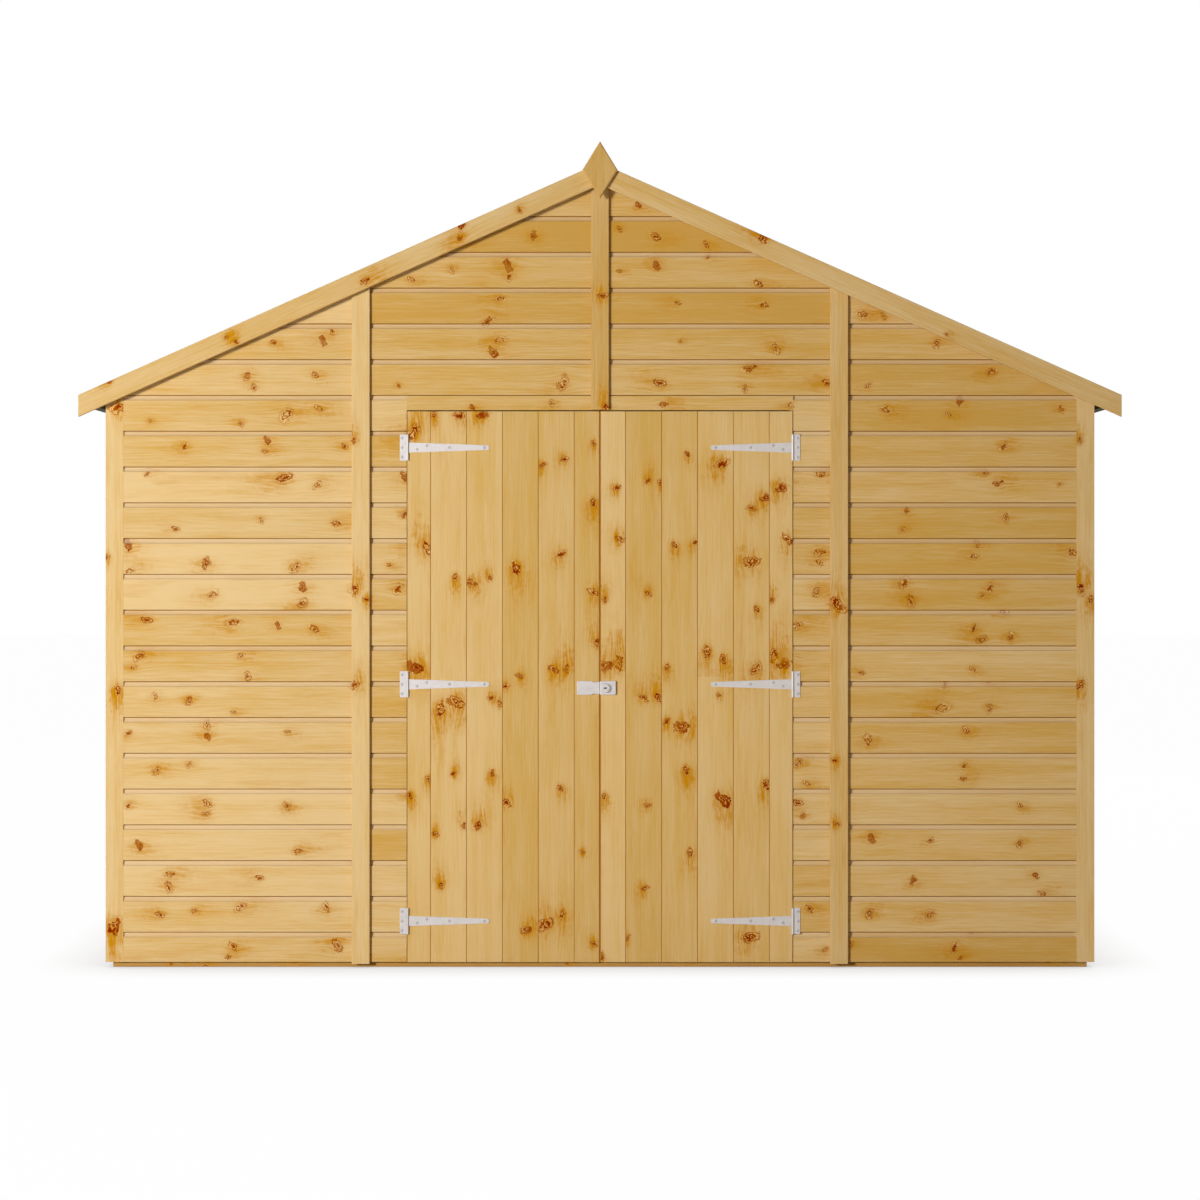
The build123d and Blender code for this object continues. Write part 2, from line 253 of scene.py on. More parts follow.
# %% Wire up nodes with Python expressions
class Wire:
    """One output of a material's nodes. Sums, products and powers of wires add their Math nodes."""

    def __init__(self, tree, socket=None):
        self.tree, self.socket = tree, socket

    def node(self, kind, settings=None, links=None, out=0):
        """Adds a node: its settings first, then the values or wires of its sockets; gives one of its
        outputs."""
        made = self.tree.nodes.new("ShaderNode" + kind)
        for key, value in (settings or {}).items():
            setattr(made, key, value)
        self.feed(made, links or {})
        return Wire(self.tree, made.outputs[out])

    def feed(self, node, links):
        """Sets or links the sockets of a node."""
        for key, value in links.items():
            if isinstance(value, Wire):
                self.tree.links.new(value.socket, node.inputs[key])
            else:
                node.inputs[key].default_value = value

    def math(self, operation, *values):
        return self.node("Math", {"operation": operation}, dict(enumerate(values)))

    def __add__(self, other):
        return self.math("ADD", self, other)

    def __sub__(self, other):
        return self.math("SUBTRACT", self, other)

    def __rsub__(self, other):
        return self.math("SUBTRACT", other, self)

    def __mul__(self, other):
        return self.math("MULTIPLY", self, other)

    def __truediv__(self, other):
        return self.math("DIVIDE", self, other)

    def __pow__(self, other):
        return self.math("POWER", self, other)

    __radd__ = __add__
    __rmul__ = __mul__

    def most(self, other):
        """The larger of two values."""
        return self.math("MAXIMUM", self, other)

    def ease(self, low, high):
        """0 below low and 1 above high, with a smooth step between; low may be the larger."""
        if low > high:
            return 1 - self.ease(high, low)
        links = {"Value": self, "From Min": low, "From Max": high}
        return self.node("MapRange", {"interpolation_type": "SMOOTHSTEP"}, links)

    def mix(self, first, second):
        """A colour between two colours, by this wire."""
        return self.node("Mix", {"data_type": "RGBA"}, {0: self, 6: first, 7: second}, out=2)

    def noise(self, at, scale=1.0, detail=2.0, rough=0.5, out="Fac"):
        """Soft noise at a place."""
        links = {"Vector": at, "Scale": scale, "Detail": detail, "Roughness": rough}
        return self.node("TexNoise", None, links, out=out)

    def bump(self, strength, distance, height):
        """A normal tilted by a height."""
        return self.node("Bump", None, {"Strength": strength, "Distance": distance, "Height": height})

    def layer(self, name, out="Vector"):
        """A layer of the mesh."""
        return self.node("Attribute", {"attribute_name": name}, out=out)

    def place(self, x, y, z):
        """A vector from three values."""
        return self.node("CombineXYZ", None, {0: x, 1: y, 2: z})

    def parts(self):
        """The three parts of a vector or colour."""
        return [self.node("SeparateXYZ", None, {0: self}, out=i) for i in range(3)]


# %% Start a material
def srgb(red, green, blue):
    """A colour written as 0 to 255 screen values, as linear light with full alpha."""
    c = np.array([red, green, blue]) / 255
    linear = np.where(c <= 0.04045, c / 12.92, ((c + 0.055) / 1.055) ** 2.4)
    return (*linear.tolist(), 1.0)


def new_material(name):
    """An empty material with its shader, and a wire to start expressions from."""
    material = bpy.data.materials.new(name)
    material.use_nodes = True
    shader = next(n for n in material.node_tree.nodes if n.type == "BSDF_PRINCIPLED")
    return material, Wire(material.node_tree), shader


# %% [markdown]
# ## Knots in the pine
# A knot in planed pine has dark red-brown arcs and patches in an amber core, drawn out to one side, and
# resin that soaked the wood round it. A picture of a knot would repeat. Here each knot is noise, stirred
# round its middle and turned by the random number that its layer holds, so no two look alike.

# %% Shape a knot
AMBER = srgb(196, 134, 0)
KNOT_PALE = srgb(240, 212, 150)
DEEP_KNOTS = {"rust": srgb(176, 90, 0), "deep": srgb(128, 28, 0), "fill": 0.85, "soak": 1.0, "bite": 0.25}
FAINT_KNOTS = {"rust": srgb(172, 100, 4), "deep": srgb(142, 54, 0), "fill": 0.45, "soak": 0.65, "bite": 0.05}
PUSH_REACH = 1.8
STIR, LONG_WAY, SHORT_WAY = 2.6, 0.72, 1.35


def knot_masks(w, layer, long, wide, bite):
    """How far a knot pushes the grain aside, then its amber cloud, core, dark patches and pale spots. The
    push is the offset times R squared over distance squared plus R squared, as round a post in a stream.
    Lengths are in knot radii: near is the length of the stirred offset, drawn out one way, and dark arcs
    are a sine of it."""
    chance = w.layer(layer, out="Alpha")
    ds, dt, radius = w.layer(layer, out="Color").parts()
    reach = radius * PUSH_REACH
    push = dt * reach * reach / (ds * ds + dt * dt + reach * reach)
    u, v = ds / (radius * long), dt / (radius * wide)
    stir = w.noise(w.place(u * 0.6, v * 0.7, chance * 60), rough=0.6, out="Color")
    su, sv, sw = [part - 0.5 for part in stir.parts()]
    fray = w.noise(w.place(u * 2.2, v * 2.2, chance * 90), rough=0.6, out="Color")
    fu, fv, fw = [part - 0.5 for part in fray.parts()]
    turn = chance * (6 * math.pi)
    cosine, sine = turn.math("COSINE", turn), turn.math("SINE", turn)
    lean, over = u * cosine + v * sine, v * cosine - u * sine
    near = (((lean + su * STIR + fu) * LONG_WAY) ** 2 + ((over + sv * STIR + fv) * SHORT_WAY) ** 2) ** 0.5
    far = (u * u * 0.5 + v * v) ** 0.5 + sw * 3.5 - lean * 0.4
    cloud = far.ease(3.6, 0.8).most(far.ease(5.2, 1.8) * 0.3)
    core = near.ease(2.0, 1.0)
    spin = near * 7 + chance * 40 + fw * 5
    grit = w.noise(w.place(u * 1.9 + su * 5, v * 1.9 + sv * 5, chance * 80))
    arcs = spin.math("SINE", spin) * 0.6 + (grit - 0.5) * 2.4
    side = (lean + su * 2).ease(-1.0, 0.7)
    tight = chance.ease(0.36, 0.3) * near.ease(0.75, 0.35)
    ringlet = chance.ease(0.72, 0.78) * near.ease(0.5, 0.7) * near.ease(1.1, 0.85) * 0.8
    dark = (core * (arcs + bite).ease(-0.05, 0.3) * (0.7 + side * 0.3)).most(tight).most(ringlet)
    spot = core * arcs.ease(-0.3, -0.6) * (1 - side * 0.7) * (1 - tight)
    return push, (cloud, core, dark, spot)


def stain_knots(wood, masks, fleck, knots):
    """Soaks each cloud with amber along the flecks of the grain, then paints pale spots and dark patches
    over it."""
    for cloud, core, dark, spot in masks:
        halo = cloud * (0.3 + fleck * 0.85) * knots["soak"]
        wood = halo.most(core * knots["fill"]).mix(wood, AMBER)
        wood = (cloud * fleck * core * 0.3).mix(wood, knots["rust"])
        wood = (spot * 0.6).mix(wood, KNOT_PALE)
        wood = dark.mix(wood, knots["rust"])
        wood = (dark * dark * 0.9).mix(wood, knots["deep"])
    return wood


# %% [markdown]
# ## Knotty pine
# Softwood shows pale early wood and narrow darker late wood as streaks along the board, and every board has
# a tone of its own. An image would repeat and can't follow the knots, so the streaks are noise drawn out
# along the grain layer and pushed aside at each knot. Depth under the face tells the planed hollow, painted
# paler and partly as a painted highlight, the door bevels in a warm painted shade, the slit behind them in
# painted shade, and the inner face.

# %% Pine
# Hollow of the wall boards: paler planed wood, and partly a painted highlight where the hollow faces up into
# the light
LIT_PALE_COVE = srgb(218, 192, 158), 0.45
# Door-board bevels: a warm painted shade in the joints between the boards
WARM_BEVEL_SHADE = srgb(206, 142, 50), 0.8
# Slit behind each lip: painted shade
SLIT_SHADE = srgb(124, 72, 12)
BARE_PINE = srgb(226, 200, 154)
HOLLOW_IN, HOLLOW_OUT = (0.1 * MM, 0.8 * MM), (7.4 * MM, 6.8 * MM)
SLIT_IN, SLIT_OUT = (6.8 * MM, 7.6 * MM), (10.5 * MM, 9.5 * MM)
INNER_FACE = 10.5 * MM, 11.5 * MM
GRAIN_RELIEF = 0.6 * MM


def tint_joints(wood, depth, cove):
    """Colours by depth: the hollow of a joint paler, partly as a painted highlight, or its bevel in a warm
    painted shade; the slit behind it in painted shade; and the bare inner face.
    """
    colour, share = cove
    wood = (depth.ease(*HOLLOW_IN) * depth.ease(*HOLLOW_OUT) * share).mix(wood, colour)
    wood = (depth.ease(*SLIT_IN) * depth.ease(*SLIT_OUT) * 0.7).mix(wood, SLIT_SHADE)
    return (depth.ease(*INNER_FACE) * 0.35).mix(wood, BARE_PINE)


def pine(name, pale, honey, tone_span, gloss=0.5, knots=DEEP_KNOTS, long=1.0, wide=1.0, cove=LIT_PALE_COVE):
    """Streaks are fine, broad and cloudy noise with a sine for late wood, mixed from pale to honey and
    scaled by the board's tone; resin stains, knots and the joints' colours, with their painted highlight
    and shade, go over them."""
    material, w, shader = new_material(name)
    s, t, depth = w.layer("grain").parts()
    tone, shift, other = w.layer("board").parts()
    pushes, masks = zip(*(knot_masks(w, layer, long, wide, knots["bite"]) for layer in KNOT_LAYERS))
    v = t - pushes[0] - pushes[1]
    fine = w.noise(w.place(s * 11 + shift * 90, v * 230, shift * 50), detail=4.0, rough=0.7)
    broad = w.noise(w.place(s * 1.6 + shift * 70, v * 34, shift * 30))
    cloudy = w.noise(w.place(s * 3.2, v * 9 + shift * 20, other * 60), detail=1.0)
    turn = v * 620 + broad * 16 + shift * 30
    late = turn.math("SINE", turn)
    streak = fine * 0.66 + broad * 0.44 + (cloudy - 0.5) * 0.32 + late * 0.03 - 0.07 + (0.5 - tone) * 0.24
    level = tone * tone_span + (1 - tone_span * 0.5)
    wood = streak.ease(0.22, 0.78).mix(pale, honey)
    wood = w.node("VectorMath", {"operation": "SCALE"}, {0: wood, "Scale": level})
    resin = w.noise(w.place(s * 4 + other * 50, v * 26, shift * 80), detail=3.0, rough=0.6).ease(0.56, 0.8)
    wood = (resin * 0.3).mix(wood, AMBER)
    wood = stain_knots(wood, masks, (fine * 0.8 + broad * 0.4).ease(0.46, 0.74), knots)
    relief = w.bump(0.12, GRAIN_RELIEF, fine * 0.7 + late * 0.12)
    w.feed(shader, {
        "Base Color": tint_joints(wood, depth, cove), "Roughness": gloss + fine * 0.12, "Normal": relief,
        "Specular IOR Level": 0.0,
    })
    print(f"{name}: {len(w.tree.nodes)} nodes")
    return material


cladding_pine = pine("cladding_pine", srgb(219, 189, 136), srgb(207, 162, 80), 0.06, knots=FAINT_KNOTS,
                     long=1.05, wide=0.95)
door_pine = pine("door_pine", srgb(218, 186, 130), srgb(209, 167, 88), 0.08, long=1.05, wide=1.05,
                 cove=WARM_BEVEL_SHADE)
trim_pine = pine("trim_pine", srgb(218, 189, 136), srgb(206, 162, 86), 0.08)
frame_pine = pine("frame_pine", srgb(226, 196, 142), srgb(208, 168, 106), 0.2, 0.56)
deck_pine = pine("deck_pine", srgb(222, 190, 134), srgb(202, 160, 98), 0.22, 0.55)
# The bearers are a darker pine than the walls; part of that is painted shade from the walls above them
bearer_pine = pine("bearer_pine", srgb(196, 152, 84), srgb(176, 128, 62), 0.1, 0.58, FAINT_KNOTS)

# %% [markdown]
# ## Where the knots are
# The eye knows a door by its knots, so the main ones on the front are set out one by one, as places read off
# the photograph in its pixels, with a radius in millimetres for the ones that stand out. Unseen sides get
# random ones.

# %% Set out the knots of the front
MM_PER_PIXEL = 3.034
PIXEL_MIDDLE = 600.0
PIXEL_GROUND = 967.7
PLAIN_KNOT = 6.0

front_knots = [
    # Left door
    (413, 433, 13), (434, 414), (459, 416, 9), (483, 415, 9), (543, 465), (565, 459), (593, 443, 5),
    (593, 502, 8), (428, 549, 12), (455, 577), (470, 583, 9), (490, 578, 5), (516, 568, 11), (562, 554, 8),
    (593, 592, 9), (597, 643, 8), (414, 667, 14), (554, 669, 9), (566, 670, 9), (519, 676), (506, 686),
    (441, 709, 12), (455, 702, 13), (491, 698), (500, 704), (453, 774), (492, 773), (428, 779), (410, 795),
    (507, 803, 9), (560, 788), (436, 834), (464, 826), (478, 826, 8), (441, 886), (582, 852, 5),
    (526, 930, 9), (544, 924, 14), (562, 914, 8), (594, 944),
    # Right door
    (617, 488), (621, 539, 8), (605, 600), (619, 664, 13), (605, 666, 12), (648, 481), (660, 483),
    (687, 454, 5), (722, 464, 11), (766, 498, 9), (751, 508, 7), (782, 488, 10), (787, 539, 10), (674, 545),
    (696, 542), (752, 561, 13), (649, 594), (756, 609), (772, 600), (707, 651, 10), (723, 659, 8),
    (667, 667), (756, 669, 11), (784, 664, 11), (774, 656, 12), (644, 698, 8), (658, 698, 8), (681, 727, 12),
    (667, 721), (718, 695, 4), (686, 770, 8), (723, 800, 14), (648, 805), (690, 852, 8), (645, 888),
    (751, 937, 13), (604, 796), (766, 784, 9), (627, 938, 6), (602, 956),
    # Left wall
    (286, 416, 12), (318, 408, 8), (241, 424), (150, 420, 4), (185, 446, 7), (267, 440, 8), (265, 451, 6),
    (345, 447), (147, 474, 6), (284, 478, 14), (317, 485, 8), (176, 529, 7), (261, 521, 5), (336, 523, 9),
    (128, 545, 10), (206, 563, 10), (295, 568, 10), (130, 571, 8), (213, 594, 9), (303, 587, 10),
    (303, 603, 10), (147, 620, 10), (233, 623, 11), (278, 626, 7), (314, 629, 9), (139, 656, 10),
    (134, 667, 6), (240, 656, 7), (248, 676, 9), (155, 695), (189, 701, 8), (233, 712, 5), (129, 733),
    (207, 725, 9), (208, 737, 8), (287, 732), (156, 771, 8), (189, 765), (128, 806), (207, 804, 9),
    (207, 813, 7), (287, 806, 8), (139, 845, 9), (298, 851, 8), (170, 874, 9), (169, 888, 9), (260, 878, 7),
    (160, 915, 8), (194, 911), (240, 908, 10), (326, 907, 8), (233, 946, 9), (228, 957, 6), (338, 945, 12),
    # Right wall
    (886, 410, 9), (960, 400, 9), (948, 414, 6), (1061, 410), (1003, 447, 8), (997, 483, 9), (986, 473, 6),
    (1059, 485, 4), (907, 510), (1006, 518, 8), (902, 530, 6), (977, 543, 7), (975, 556, 7), (1073, 553, 9),
    (904, 583, 11), (990, 588, 9), (982, 595), (911, 602, 10), (1005, 612, 9), (974, 628, 8), (1011, 636, 8),
    (982, 639, 9), (862, 673), (972, 669, 6), (945, 684, 7), (988, 682), (942, 708, 12), (989, 709, 8),
    (868, 739, 10), (966, 730, 8), (964, 766), (963, 779, 7), (1020, 805), (872, 839, 9), (931, 840),
    (1020, 844, 7), (913, 880, 8), (1036, 876, 7), (1042, 893, 9), (870, 914, 9), (930, 914, 9),
    (955, 947, 10), (960, 958, 6), (971, 933), (851, 945),
    # Gable
    (534, 235, 8), (508, 266, 11), (509, 277, 7), (411, 279, 7), (452, 270, 6), (500, 299, 8),
    (487, 322, 11), (500, 340, 9), (493, 352, 11), (323, 341, 9), (332, 331, 7), (273, 342), (247, 377, 8),
    (254, 388, 6), (315, 375, 7), (563, 383, 12), (552, 403, 7), (399, 386, 4), (472, 407), (638, 205, 7),
    (620, 229), (656, 237, 10), (706, 244, 7), (619, 271, 5), (657, 266, 9), (708, 257, 6), (758, 284, 9),
    (678, 303), (765, 305, 8), (680, 342, 4), (776, 349, 9), (749, 368, 11), (660, 383, 11), (745, 389, 7),
    (828, 383, 9), (863, 314, 11), (884, 316, 7), (937, 344, 8), (992, 372, 9), (868, 385, 7), (664, 405, 9),
    (791, 405, 7),
    # Strips, beside the doors, barge boards
    (355, 590, 9), (366, 599, 6), (355, 685, 9), (354, 441, 6), (837, 605, 15), (834, 760, 6), (837, 824, 6),
    (603, 296, 8), (607, 408, 8), (118, 408, 13), (118, 690, 9), (107, 557), (115, 926, 15), (1080, 441),
    (1081, 589, 10), (1091, 599, 7), (1081, 685, 9), (404, 476, 9), (404, 515, 8), (398, 589, 10),
    (389, 565, 5), (821, 474, 9), (820, 552, 10), (820, 563, 7), (817, 592, 9), (796, 626, 10),
    (798, 763, 8), (806, 783, 7), (798, 803, 9), (803, 815, 7), (809, 908, 8), (825, 949, 6), (463, 227, 9),
    (461, 239, 8), (520, 212, 5), (366, 282, 9), (228, 338, 5), (238, 343, 5), (112, 383, 5), (762, 240, 10),
    (945, 335, 4), (408, 965, 5), (600, 965, 5),
]


def knots_on(along, across):
    """The listed knots as rows of (along, across, radius), for boards with these directions on the
    front."""
    rows = np.array([(x, z, *radius, PLAIN_KNOT)[:3] for x, z, *radius in front_knots])
    places = np.zeros((len(rows), 3))
    places[:, 0] = (rows[:, 0] - PIXEL_MIDDLE) * MM_PER_PIXEL * MM
    places[:, 2] = (PIXEL_GROUND - rows[:, 1]) * MM_PER_PIXEL * MM
    return np.column_stack([places @ unit(along), places @ unit(across), rows[:, 2] * MM])


print("knots set out by hand:", len(front_knots))

# %% [markdown]
# ## Overlapping wall boards
# The walls are shiplap: each board has a hollow planed into its top edge, and the lip of the next board
# hangs over it, so rain runs off. A bump map would lose the shadow under each lip, so the true section is
# carried along every board, and the ends are cut to the slope under the roof.

# %% Shiplap section
COURSE = 108.6 * MM
FIRST_JOINT = 108.3 * MM
COVE_TALL = 13.5 * MM
COVE_DEEP = 6.5 * MM
COVE_STEPS = 6
LIP_GAP = 0.4 * MM
SLIT_TALL = 2.6 * MM
SLIT_DEEP = 9.0 * MM
SLIT_CLEAR = 0.5 * MM
LAP = 8.0 * MM
LAP_CLEAR = 1.0 * MM
BOARD_STEP = 0.03


def shiplap_section(hollow):
    """Round one board: depth under the face, share of the course height, and rise from that height. The
    hollow is a quarter of an ellipse that starts level at the face and ends upright below a slit."""
    turn = np.linspace(0, np.pi / 2, COVE_STEPS)
    cove = [(COVE_DEEP * math.sin(a) * hollow, 1.0, -SLIT_TALL - COVE_TALL * math.cos(a)) for a in turn]
    face = [(0.0, f, LIP_GAP * 2 * (1 - f) - (COVE_TALL + SLIT_TALL) * f) for f in (0, 0.33, 0.67)]
    back = [
        (SLIT_DEEP, 1.0, -SLIT_TALL),
        (SLIT_DEEP, 1.0, LAP - LAP_CLEAR),
        (cladding_thick, 1.0, LAP - LAP_CLEAR),
        (cladding_thick, 0.5, 0.0),
        (cladding_thick, 0.0, LAP),
        (SLIT_DEEP - SLIT_CLEAR, 0.0, LAP),
        (SLIT_DEEP - SLIT_CLEAR, 0.0, LIP_GAP),
        (LIP_GAP, 0.0, LIP_GAP),
    ]
    return np.array(face + cove + back).T


def shiplap(name, node, place, along, reach, top, foot=cladding_foot, knots=None, step=BOARD_STEP, tone=0.0,
            hollow=True):
    """Boards laid from foot to top. reach gives both ends of a board at a height; place turns (along,
    depth, height) into xyz. A height is the board's lower edge plus a share of its course plus a rise, cut
    off at the top."""
    joints = FIRST_JOINT + COURSE * np.arange(1 + (top - FIRST_JOINT) // COURSE)
    lower = np.concatenate([[foot], joints[(joints > foot + LAP) & (joints < top - LAP)]])
    upper = np.concatenate([lower[1:], joints[joints > lower[-1] + LAP], [lower[-1] + COURSE]])[: len(lower)]
    deep, share, rise = shiplap_section(hollow)
    height = np.minimum(lower[:, None] + share * (upper - lower)[:, None] + rise, top)
    start, end = reach(height)
    u = np.linspace(0, 1, 2 + int((end - start).max() / step))[None, :, None]
    run = start[:, None] * (1 - u) + end[:, None] * u
    depth = np.broadcast_to(deep, run.shape)
    mesh = closed_mesh(name, place(run, depth, np.broadcast_to(height[:, None], run.shape)))
    grain_layers(mesh, len(lower), along, Z, knots, depth, tone=tone)
    drop_flat_faces(mesh)
    dress(name, mesh, cladding_pine, nodes=[node])


# %% [markdown]
# ## The front wall
# The front is five panels of boards round the doorway, with a plain board over the doors. One large panel
# could be cut out with a Boolean, but boards that end at the same lines as the real ones keep their true
# ends. Each panel has its own tone: the panel left of the doors is painted lighter, and the panel right of
# them and the gable darker, as painted light and shade.

# %% Clad the front
RIDGE_CLEAR = 2 * MM
HEAD_LIP = 2 * MM


def on_front(run, depth, height):
    """Depth goes back from the front face."""
    return np.stack([run, front + depth, height], -1)


def between(left, right):
    """Ends of boards between two upright lines, or at the slope of the roof where that comes first."""
    def reach(height):
        eaves = (ridge_under - height) / slope
        return np.maximum(left, -eaves), np.minimum(right, eaves)
    return reach


wall_knots = knots_on(X, Z)
gable_top = ridge_under - RIDGE_CLEAR
outer_top = float(roof_under(panel_joint))
head_joint = FIRST_JOINT + COURSE * math.ceil((doorway_head - FIRST_JOINT) / COURSE)
head_top = head_joint + LAP
# The tones are painted light and shade: front_left lighter, front_right and the gable darker
for name, node, left, right, foot, top, tone in (
    ("front_left", "front_left_panel", -inner_half, -panel_joint, cladding_foot, outer_top, 0.3),
    ("front_right", "front_right_panel", panel_joint, inner_half, cladding_foot, outer_top, -0.3),
    ("left_of_door", "front_left_door_panel", -panel_joint, -half_doorway, cladding_foot, head_top, 0),
    ("right_of_door", "front_right_door_panel", half_doorway, panel_joint, cladding_foot, head_top, 0),
    ("gable", "front_gable_panel", -panel_joint, panel_joint, head_joint, gable_top, -0.65),
):
    shiplap(f"wall_boards_{name}", node, on_front, X, between(left, right), top, foot, wall_knots, tone=tone)
shiplap("door_head_board", "front_gable_panel", on_front, X, between(-half_doorway, half_doorway), head_top,
        doorway_head - HEAD_LIP, wall_knots, tone=-0.2, hollow=False)

# %% [markdown]
# ## The other walls
# The sides and the back repeat the front's boards without an opening. The same function makes them: only
# the rule that places a point changes, so the section is written once.

# %% Clad the sides and the back
FAR_STEP = 0.05
side_end, side_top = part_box("left_wall_panel")[1].y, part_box("left_wall_panel")[1].z


def full_side(height):
    """Both ends of a side wall, at any height."""
    return np.full_like(height, -side_end), np.full_like(height, side_end)


def on_side(sign):
    """Depth goes in from a side wall's face, and the tops are planed to the slope of the roof."""
    def place(run, depth, height):
        x = sign * (half_width - depth)
        return np.stack([x, run, np.minimum(height, roof_under(x))], -1)
    return place


def on_back(run, depth, height):
    """Depth goes forward from the back face."""
    return np.stack([run, -front - depth, height], -1)


for side, sign in SIDES:
    shiplap(f"wall_boards_{side}", f"{side}_wall_panel", on_side(sign), Y, full_side, side_top, step=FAR_STEP)
shiplap("wall_boards_back", "back_wall_panel", on_back, X, between(-inner_half, inner_half), gable_top,
        step=FAR_STEP)

# %% [markdown]
# ## Tongued and grooved boards
# Doors, floor and roof are made of boards whose tongue fits the next board's groove, with a fine bevel
# along the joint. The joint could be a dark line in the shader, but a real bevel catches light from every
# side.

# %% Tongued section
BOARD_GAP = 0.35 * MM
BOARD_BEVEL = 1.1 * MM
TONGUE = 4.0 * MM
GROOVE_CLEAR = 0.5 * MM
TONGUE_SLACK = 0.25 * MM
EDGE_STEP = 0.05 * MM


def tongued(name, nodes, joints, thick, place, ends, along, material, body="shed", knots=None,
            step=BOARD_STEP, tongue=0.0, tones=None):
    """Boards between neighbouring joint lines. The section runs round the face with its two bevels, the
    tongue, the back and the groove. place turns (along, across, depth) into xyz; ends gives both ends of
    the boards, and tongue how far the last edge reaches past its line."""
    left, right = np.asarray(joints[:-1])[:, None], np.asarray(joints[1:])[:, None]
    first, last = np.eye(len(left))[:, [0, -1]].T[:, :, None] > 0
    low, high = left + BOARD_GAP * ~first, right - BOARD_GAP * ~last
    third = (high - low) / 3
    inner = np.where(first, -EDGE_STEP, TONGUE + GROOVE_CLEAR)
    outer = np.where(last, tongue + EDGE_STEP, TONGUE)
    a, b = thick / 3, 2 * thick / 3
    columns = [
        (low + BOARD_BEVEL, 0), (low + third, 0), (high - third, 0), (high - BOARD_BEVEL, 0),
        (high, BOARD_BEVEL), (high, a), (high + outer, a), (high + outer, b), (high, b),
        (high, thick), (low, thick),
        (low, b + TONGUE_SLACK), (low + inner, b + TONGUE_SLACK),
        (low + inner, a - TONGUE_SLACK), (low, a - TONGUE_SLACK), (low, BOARD_BEVEL),
    ]
    width = np.concatenate([c for c, _ in columns], 1)
    stations = 2 + int((ends[1] - ends[0]) / step)
    run = np.linspace(*ends, stations)[None, :, None] + np.zeros((len(left), stations, len(columns)))
    depth = np.broadcast_to(np.array([d for _, d in columns]), run.shape)
    mesh = closed_mesh(name, place(run, np.broadcast_to(width[:, None], run.shape), depth))
    grain_layers(mesh, len(left), along, X, knots, depth, tones=tones)
    dress(name, mesh, material, body, nodes)


# %% [markdown]
# ## The doors
# Each leaf is six upright boards, and the left one's last edge reaches behind the right leaf so that no
# light shows between them. The joints lie where the photograph has them, and each board's tone is given one
# by one, because the pattern of pale and honey boards is what makes the pair of doors look like the real one.

# %% Board the doors
MEETING_TONGUE = 3.9 * MM
HINGE_GAP = 1.8 * MM
DOOR_JOINTS = np.array([78.0, 187.0, 296.0, 405.0, 514.0]) * MM
DOOR_TONES = {"left": (0.8, 0.85, 0.75, 0.1, 0.35, 0.2), "right": (0.95, 0.1, 0.3, 0.6, 0.5, 0.75)}
door_low, door_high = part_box("left_door_boards")
door_thick = door_high.y - front


def on_door(run, width, depth):
    """Boards stand upright, and depth goes back from the front face."""
    return np.stack([width, front + depth, run], -1)


for side, sign in SIDES:
    lines = np.sort(sign * np.array([-door_high.x, *DOOR_JOINTS, half_doorway - HINGE_GAP]))
    tongued(f"{side}_door_planks", [f"{side}_door_boards"], lines, door_thick, on_door,
            (door_low.z, door_high.z), Z, door_pine, f"{side}_door", knots=knots_on(Z, X),
            tongue=MEETING_TONGUE * (sign < 0), tones=DOOR_TONES[side])

# %% [markdown]
# ## Floor and roof boards
# The floor shows through the open doors, and the underside of the roof boards shows over it. Both are the
# same tongued section, laid flat or along the slope, in even widths near to a stock board.

# %% Lay the floor and board the roof
FLOOR_BOARD = 118.0 * MM
ROOF_BOARD = 112.0 * MM
DECK_STEP = 0.08
floor_low, floor_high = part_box("floor_deck")
deck_low, deck_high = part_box("left_roof_deck")
deck_thick = (deck_high.z - ridge_under) * math.cos(pitch)
slope_run = -deck_low.x / math.cos(pitch)


def even_joints(low, high, width):
    """Joint lines at about one board's width."""
    return np.linspace(low, high, max(2, round((high - low) / width) + 1))


def on_floor(run, width, depth):
    """Depth goes down from the floor's top."""
    return np.stack([width, run, floor_high.z - depth], -1)


def on_slope(sign):
    """width is the distance down the slope, and depth goes up from the underside, square to it."""
    def place(run, width, depth):
        x = width * math.cos(pitch) + depth * math.sin(pitch)
        z = ridge_under - width * math.sin(pitch) + depth * math.cos(pitch)
        return np.stack([sign * np.clip(x, 0, -deck_low.x), run, z], -1)
    return place


floor_joints = even_joints(floor_low.x, floor_high.x, FLOOR_BOARD)
tongued("floor_planks", ["floor_deck"], floor_joints, floor_high.z - floor_low.z, on_floor,
        (floor_low.y, floor_high.y), Y, deck_pine, step=DECK_STEP)
for side, sign in SIDES:
    tongued(f"{side}_roof_planks", [f"{side}_roof_deck"], even_joints(0, slope_run, ROOF_BOARD), deck_thick,
            on_slope(sign), (deck_low.y, deck_high.y), Y, deck_pine, step=DECK_STEP)


# %% [markdown]
# ## Planed timbers
# Studs, rails, strips and barge boards are straight lengths whose edges are eased so that they don't
# splinter. Their corners are already exact in the frame, so each timber is lofted between the corner points
# of its two ends, with a small flat planed along every edge. A Bevel modifier could do that too, but would
# lose the points' order, which the grain layers need.

# %% Find the timbers in a node
BOX_CORNERS, PEAKED_CORNERS = 8, 10
EDGE_EASE = 1.5 * MM
TIMBER_STEP = 0.06


